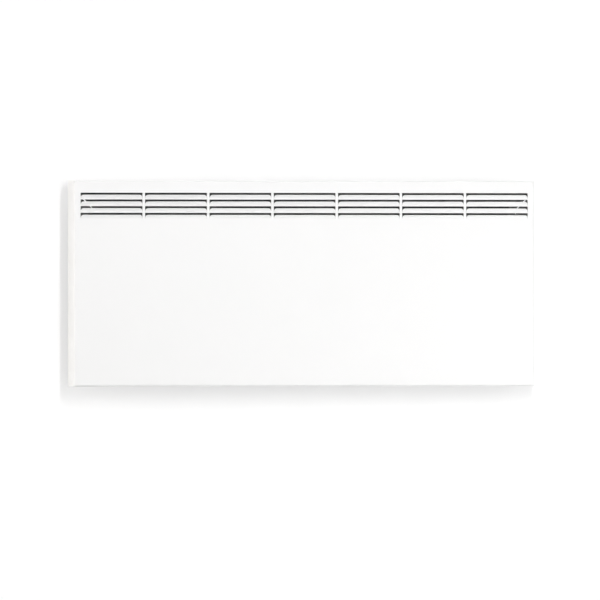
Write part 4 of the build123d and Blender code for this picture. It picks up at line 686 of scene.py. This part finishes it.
# %% [markdown]
# ## Screws, rivets and pins
#
# A pan head screw has a domed head with a short upright edge. Its thread is drawn as a row of rings instead
# of a climbing helix: at this size nobody can see the difference, and an outline is enough.

# %% Outline of a screw
HEAD_RADIUS = 3.5 * MM
HEAD_HEIGHT = 2.0 * MM
SHANK_RADIUS = 1.7 * MM
THREAD_DEPTH = 0.25 * MM
THREAD_PITCH = 0.8 * MM
HEAD_EDGE = 0.25 * HEAD_HEIGHT


def screw_profile(length):
    """Outline of a pan head screw whose head sits at height 0, from the crown to the tip."""
    dome = [(share, sqrt(1 - share ** 3)) for share in (0, 0.3, 0.5, 0.7, 0.85, 0.95)]
    profile = [(share * HEAD_RADIUS, HEAD_HEIGHT * rise) for share, rise in dome]
    profile += [(HEAD_RADIUS, HEAD_EDGE), (HEAD_RADIUS, 0), (SHANK_RADIUS, 0)]
    turn_count = int(length / THREAD_PITCH) - 1
    for index in range(1, turn_count):
        profile.append((SHANK_RADIUS - THREAD_DEPTH, -(index - 0.5) * THREAD_PITCH))
        profile.append((SHANK_RADIUS, -index * THREAD_PITCH))
    return profile + [(SHANK_RADIUS / 2, -length + THREAD_PITCH / 2), (0, -length)]


print("a screw of 10 mm has an outline of", len(screw_profile(10 * MM)), "points")

# %% [markdown]
# The driver sits in a cross recess that narrows as it goes down. The head is spun first, and then the recess
# is cut out of it with a boolean, because a cross doesn't come from spinning. The cross is turned further
# on each screw, because driven screws end up at any angle.

# %% Cross recess
RECESS_DEPTH = 1.3 * MM
RECESS_ARM = 1.9 * MM
RECESS_HALF_WIDTH = 0.45 * MM
RECESS_TAPER = 0.55
RECESS_TURN = radians(37)


def cross_cutter(top, turn):
    """Tapered cross that stands down from a height, turned about +Y."""
    shape = bmesh.new()
    rings = []
    for height, scale in ((top + HEAD_HEIGHT, 1.0), (top, 1.0), (top - RECESS_DEPTH, RECESS_TAPER)):
        arm, half = RECESS_ARM * scale, RECESS_HALF_WIDTH * scale
        quarter = [(arm, -half), (arm, half), (half, half)]
        ring = []
        for step in range(4):
            angle = step * pi / 2 + turn
            for x, z in quarter:
                spot = (x * cos(angle) - z * sin(angle), height, x * sin(angle) + z * cos(angle))
                ring.append(shape.verts.new(spot))
        rings.append(ring)
    for first, second in zip(rings, rings[1:]):
        for index, corner in enumerate(first):
            after = (index + 1) % len(first)
            shape.faces.new((corner, first[after], second[after], second[index]))
    shape.faces.new(rings[0])
    shape.faces.new(rings[-1])
    bmesh.ops.recalc_face_normals(shape, faces=shape.faces)
    return shape


def cut(shape, cutter):
    """Mesh of one shape with another taken out of it. Both shapes are used up."""
    workers = []
    for work_shape in (shape, cutter):
        mesh = bpy.data.meshes.new("worker")
        work_shape.to_mesh(mesh)
        work_shape.free()
        worker = bpy.data.objects.new("worker", mesh)
        bpy.context.scene.collection.objects.link(worker)
        workers.append(worker)
    modifier = workers[0].modifiers.new("cut", "BOOLEAN")
    modifier.operation = "DIFFERENCE"
    modifier.object = workers[1]
    seen_as_cut = workers[0].evaluated_get(bpy.context.evaluated_depsgraph_get())
    result = bpy.data.meshes.new_from_object(seen_as_cut)
    for worker in workers:
        bpy.data.objects.remove(worker)
    return result


print("recess", round(RECESS_DEPTH / MM, 2), "mm deep in a head", round(HEAD_HEIGHT / MM, 2), "mm high")

# %% [markdown]
# The case screws go in from behind, so their heads look towards the wall. A boolean can fail quietly on a
# bad mesh, so the share of the screws that the recesses take is printed: none would mean that it failed.


# %% Case screws
def add_screws(name, node, body):
    """Pan head screws, heads towards the wall, in place of a node's plain ones."""
    screws = bmesh.new()
    whole = 0
    for number, (low, high) in enumerate(islands(node)):
        blank = bmesh.new()
        turned(blank, screw_profile(high.y - low.y - HEAD_HEIGHT), Vector(), Vector((0, 1, 0)))
        bmesh.ops.recalc_face_normals(blank, faces=blank.faces)
        whole += blank.calc_volume()
        finished = cut(blank, cross_cutter(HEAD_HEIGHT, number * RECESS_TURN))
        seat = ((low.x + high.x) / 2, high.y - HEAD_HEIGHT, (low.z + high.z) / 2)
        finished.transform(Matrix.Translation(seat))
        screws.from_mesh(finished)
    removed = 1 - screws.calc_volume() / whole
    print("recesses take", round(100 * removed, 1), "percent of the screws")
    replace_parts(add_piece(name, screws, body, "zinc_plated_steel"), node)


add_screws("pan_head_case_screws", "case_screws", "heater")

# %% [markdown]
# A blind rivet's head is a low dome with a hole, and the broken end of its pulling pin sits down in that
# hole. On the far side the body is pressed out into a bulb. All of it is one outline again.

# %% Blind rivets
RIVET_HEAD = 3.2 * MM
RIVET_RISE = 1.2 * MM
RIVET_BODY = 1.6 * MM
PULLED_PIN = 0.85 * MM


def rivet_profile(grip):
    """Outline of a set blind rivet, from the middle of its head down to its bulb."""
    pin = PULLED_PIN / RIVET_HEAD
    outline = [(0, 0.5), (pin, 0.55), (pin, 0.1), (0.3, 0.1), (0.33, 0.93)]
    outline += [(0.45, 1.0), (0.65, 0.9), (0.85, 0.6), (1.0, 0.2), (1.0, 0)]
    head = [(share * RIVET_HEAD, rise * RIVET_RISE) for share, rise in outline]
    bulb = [(0.7, 0), (0.95, 0.3), (0.95, 0.6), (0.6, 0.95), (0, 1.0)]
    tail = [(share * RIVET_HEAD, -grip - rise * RIVET_RISE) for share, rise in bulb]
    return head + [(RIVET_BODY, 0), (RIVET_BODY, -grip)] + tail


def add_rivets(name, node, body, along, side_of):
    """Blind rivets along one axis, in place of a node's plain ones."""
    rivets = bmesh.new()
    for low, high in islands(node):
        middle = (low + high) / 2
        out = side_of(middle)
        axis = Vector((0, 0, 0))
        axis[along] = out
        length = high[along] - low[along]
        head_face = middle + axis * (length / 2 - RIVET_RISE)
        turned(rivets, rivet_profile(length - 2 * RIVET_RISE), head_face, axis)
    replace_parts(add_piece(name, rivets, body, "zinc_plated_steel"), node)


add_rivets("plate_blind_rivets", "plate_rivets", "heater", 1, lambda middle: 1)
add_rivets("rail_blind_rivets", "bracket_rivets", "bracket", 0, lambda middle: 1 if middle.x < 0 else -1)

# %% [markdown]
# The heater tilts on two pivot pins: plain bars with a flat head at each end, whose rims are chamfered.
# Both ends are alike, so half an outline is drawn and mirrored to the other end.

# %% Pivot pins
PIN_BODY = 3.0 * MM
PIN_HEAD_RISE = 1.5 * MM
PIN_CHAMFER = 0.4 * MM
pins = bmesh.new()
for low, high in islands("pivot_pins"):
    head_radius = (high.z - low.z) / 2
    half = (high.x - low.x) / 2
    end = [(0, half), (head_radius - PIN_CHAMFER, half), (head_radius, half - PIN_CHAMFER)]
    end += [(head_radius, half - PIN_HEAD_RISE), (PIN_BODY, half - PIN_HEAD_RISE)]
    outline = end + [(radius, -height) for radius, height in reversed(end)]
    turned(pins, outline, (low + high) / 2, Vector((1, 0, 0)), sides=40)
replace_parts(add_piece("chamfered_pivot_pins", pins, "heater", "zinc_plated_steel"), "pivot_pins")

# %% [markdown]
# ## Marks on the controls
#
# The marks are printed ink, only hundredths of a millimetre thick. Letters are text objects turned into
# meshes, and the lines of the dial are flat bars.

# %% Letters and bars
INK_HALF = 0.02 * MM


def text_shape(words, size):
    """Flat letters of a little thickness, centred on the origin, as a mesh."""
    letters = bpy.data.curves.new("letters", "FONT")
    letters.body = words
    letters.size = size
    letters.extrude = INK_HALF
    letters.align_x = "CENTER"
    letters.align_y = "CENTER"
    worker = bpy.data.objects.new("letters", letters)
    bpy.context.scene.collection.objects.link(worker)
    mesh = bpy.data.meshes.new_from_object(worker.evaluated_get(bpy.context.evaluated_depsgraph_get()))
    bpy.data.objects.remove(worker)
    return mesh


def bar_shape(width, height):
    """Flat bar of the ink's thickness, centred on the origin, as a mesh."""
    shape = bmesh.new()
    bmesh.ops.create_cube(shape, size=1)
    bmesh.ops.scale(shape, vec=(width, height, 2 * INK_HALF), verts=shape.verts)
    mesh = bpy.data.meshes.new("bar")
    shape.to_mesh(mesh)
    shape.free()
    return mesh


print("ink", round(2 * INK_HALF / MM, 3), "mm thick")

# %% [markdown]
# A ray from each point of a mark finds the face below it, so that the ink follows the rocker's hollow as
# well as the pocket's flat floor.

# %% Printing on a face
from mathutils.bvhtree import BVHTree

INK_LIFT = 0.012 * MM
# Letters lie in X and Y. On the right side wall, seen from outside, that is +Y and +Z.
ON_SIDE_WALL = Matrix(((0, 0, 1), (1, 0, 0), (0, 1, 0))).to_4x4()
print_ink = moulded("print_ink", rgb(0.8, 0.8, 0.79), rgb(0.88, 0.88, 0.87), 0.5, 0.1 * MM, 0.002 * MM)


def add_print(name, marks, node, body, slot):
    """Prints marks, each a mesh, its place in Y and Z and a turn, on a node's face that looks along +X."""
    ink = bmesh.new()
    for mesh, spot, turn in marks:
        mesh.transform(Matrix.Translation((0, *spot)) @ Matrix.Rotation(turn, 4, "X") @ ON_SIDE_WALL)
        ink.from_mesh(mesh)
    bmesh.ops.remove_doubles(ink, verts=ink.verts, dist=MERGE)
    face = BVHTree.FromObject(nodes[node], bpy.context.evaluated_depsgraph_get())
    for vertex in ink.verts:
        outside = Vector((solid_high.x + pixel, vertex.co.y, vertex.co.z))
        vertex.co.x += face.ray_cast(outside, Vector((-1, 0, 0)))[0].x + INK_LIFT
    add_piece(name, ink, body, slot, print_ink)


print("ink stands", round((INK_LIFT + INK_HALF) / MM, 3), "mm above its face")

# %% [markdown]
# The pocket in the side wall carries a plain dial: short lines round the knob and the numbers 0 to 6. The
# rocker has the usual I and O, hung on an empty named for the rocker.

# %% Dial and rocker marks
TICK_LENGTH = 2.0 * MM
TICK_WIDTH = 0.5 * MM
TICK_GAP = 1.0 * MM
NUMBER_SIZE = 3.6 * MM
NUMBER_RADIUS = 19.9 * MM
DIAL_STEPS = 6
LOW_END = radians(225)
SWEEP = radians(270)
ROCKER_MARK_SIZE = 4.2 * MM
ROCKER_STEP = 4.6 * MM

knob_low, knob_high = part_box("thermostat_knob")
knob_centre = Vector(((knob_low.y + knob_high.y) / 2, (knob_low.z + knob_high.z) / 2))
tick_radius = (knob_high.z - knob_low.z) / 2 + TICK_GAP + TICK_LENGTH / 2
dial = []
for step in range(DIAL_STEPS + 1):
    angle = LOW_END - step * SWEEP / DIAL_STEPS
    spoke = Vector((cos(angle), sin(angle)))
    dial.append((bar_shape(TICK_WIDTH, TICK_LENGTH), knob_centre + spoke * tick_radius, angle - pi / 2))
    dial.append((text_shape(str(step), NUMBER_SIZE), knob_centre + spoke * NUMBER_RADIUS, 0))
add_print("dial_marks", dial, "control_pocket", "heater", "white_plastic")

rocker_low, rocker_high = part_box("switch_rocker")
rocker_y = (rocker_low.y + rocker_high.y) / 2
rocker_z = (rocker_low.z + rocker_high.z) / 2
on_mark = (text_shape("I", ROCKER_MARK_SIZE), (rocker_y, rocker_z + ROCKER_STEP), 0)
off_mark = (text_shape("O", ROCKER_MARK_SIZE), (rocker_y, rocker_z - ROCKER_STEP), 0)
add_print("rocker_marks", [on_mark, off_mark], "switch_rocker", "rocker", "white_plastic")

# %% [markdown]
# The knob's own pointer is a moulded strip that fills its groove. Its rounded top is an arch of points,
# drawn once at each end of the groove and joined by long faces. It is a piece of its own, so it can be
# black on a white knob.

# %% Pointer in the knob's groove
GROOVE_START = 4.0 * MM
GROOVE_MARGIN = 2.0 * MM
GROOVE_DEPTH = 1.0 * MM
STRIP_HALF_WIDTH = 0.72 * MM
STRIP_RISE = 0.75 * MM
STRIP_STEPS = 8

strip = bmesh.new()
spoke = Vector((0, cos(LOW_END), sin(LOW_END)))
sideways = Vector((0, -spoke.z, spoke.y))
groove_floor = Vector((knob_high.x - GROOVE_DEPTH, *knob_centre))
ends = []
for reach in (GROOVE_START, (knob_high.z - knob_low.z) / 2 - GROOVE_MARGIN):
    arch = []
    for step in range(STRIP_STEPS + 1):
        turn = pi * step / STRIP_STEPS
        rise = Vector((STRIP_RISE * sin(turn) ** 0.5, 0, 0))
        across = sideways * STRIP_HALF_WIDTH * cos(turn)
        arch.append(strip.verts.new(groove_floor + spoke * reach + rise - across))
    ends.append(arch)
for index in range(STRIP_STEPS + 1):
    after = (index + 1) % (STRIP_STEPS + 1)
    strip.faces.new((ends[0][index], ends[0][after], ends[1][after], ends[1][index]))
for arch in ends:
    strip.faces.new(arch)
add_piece("knob_pointer", strip, "knob", "black_plastic")
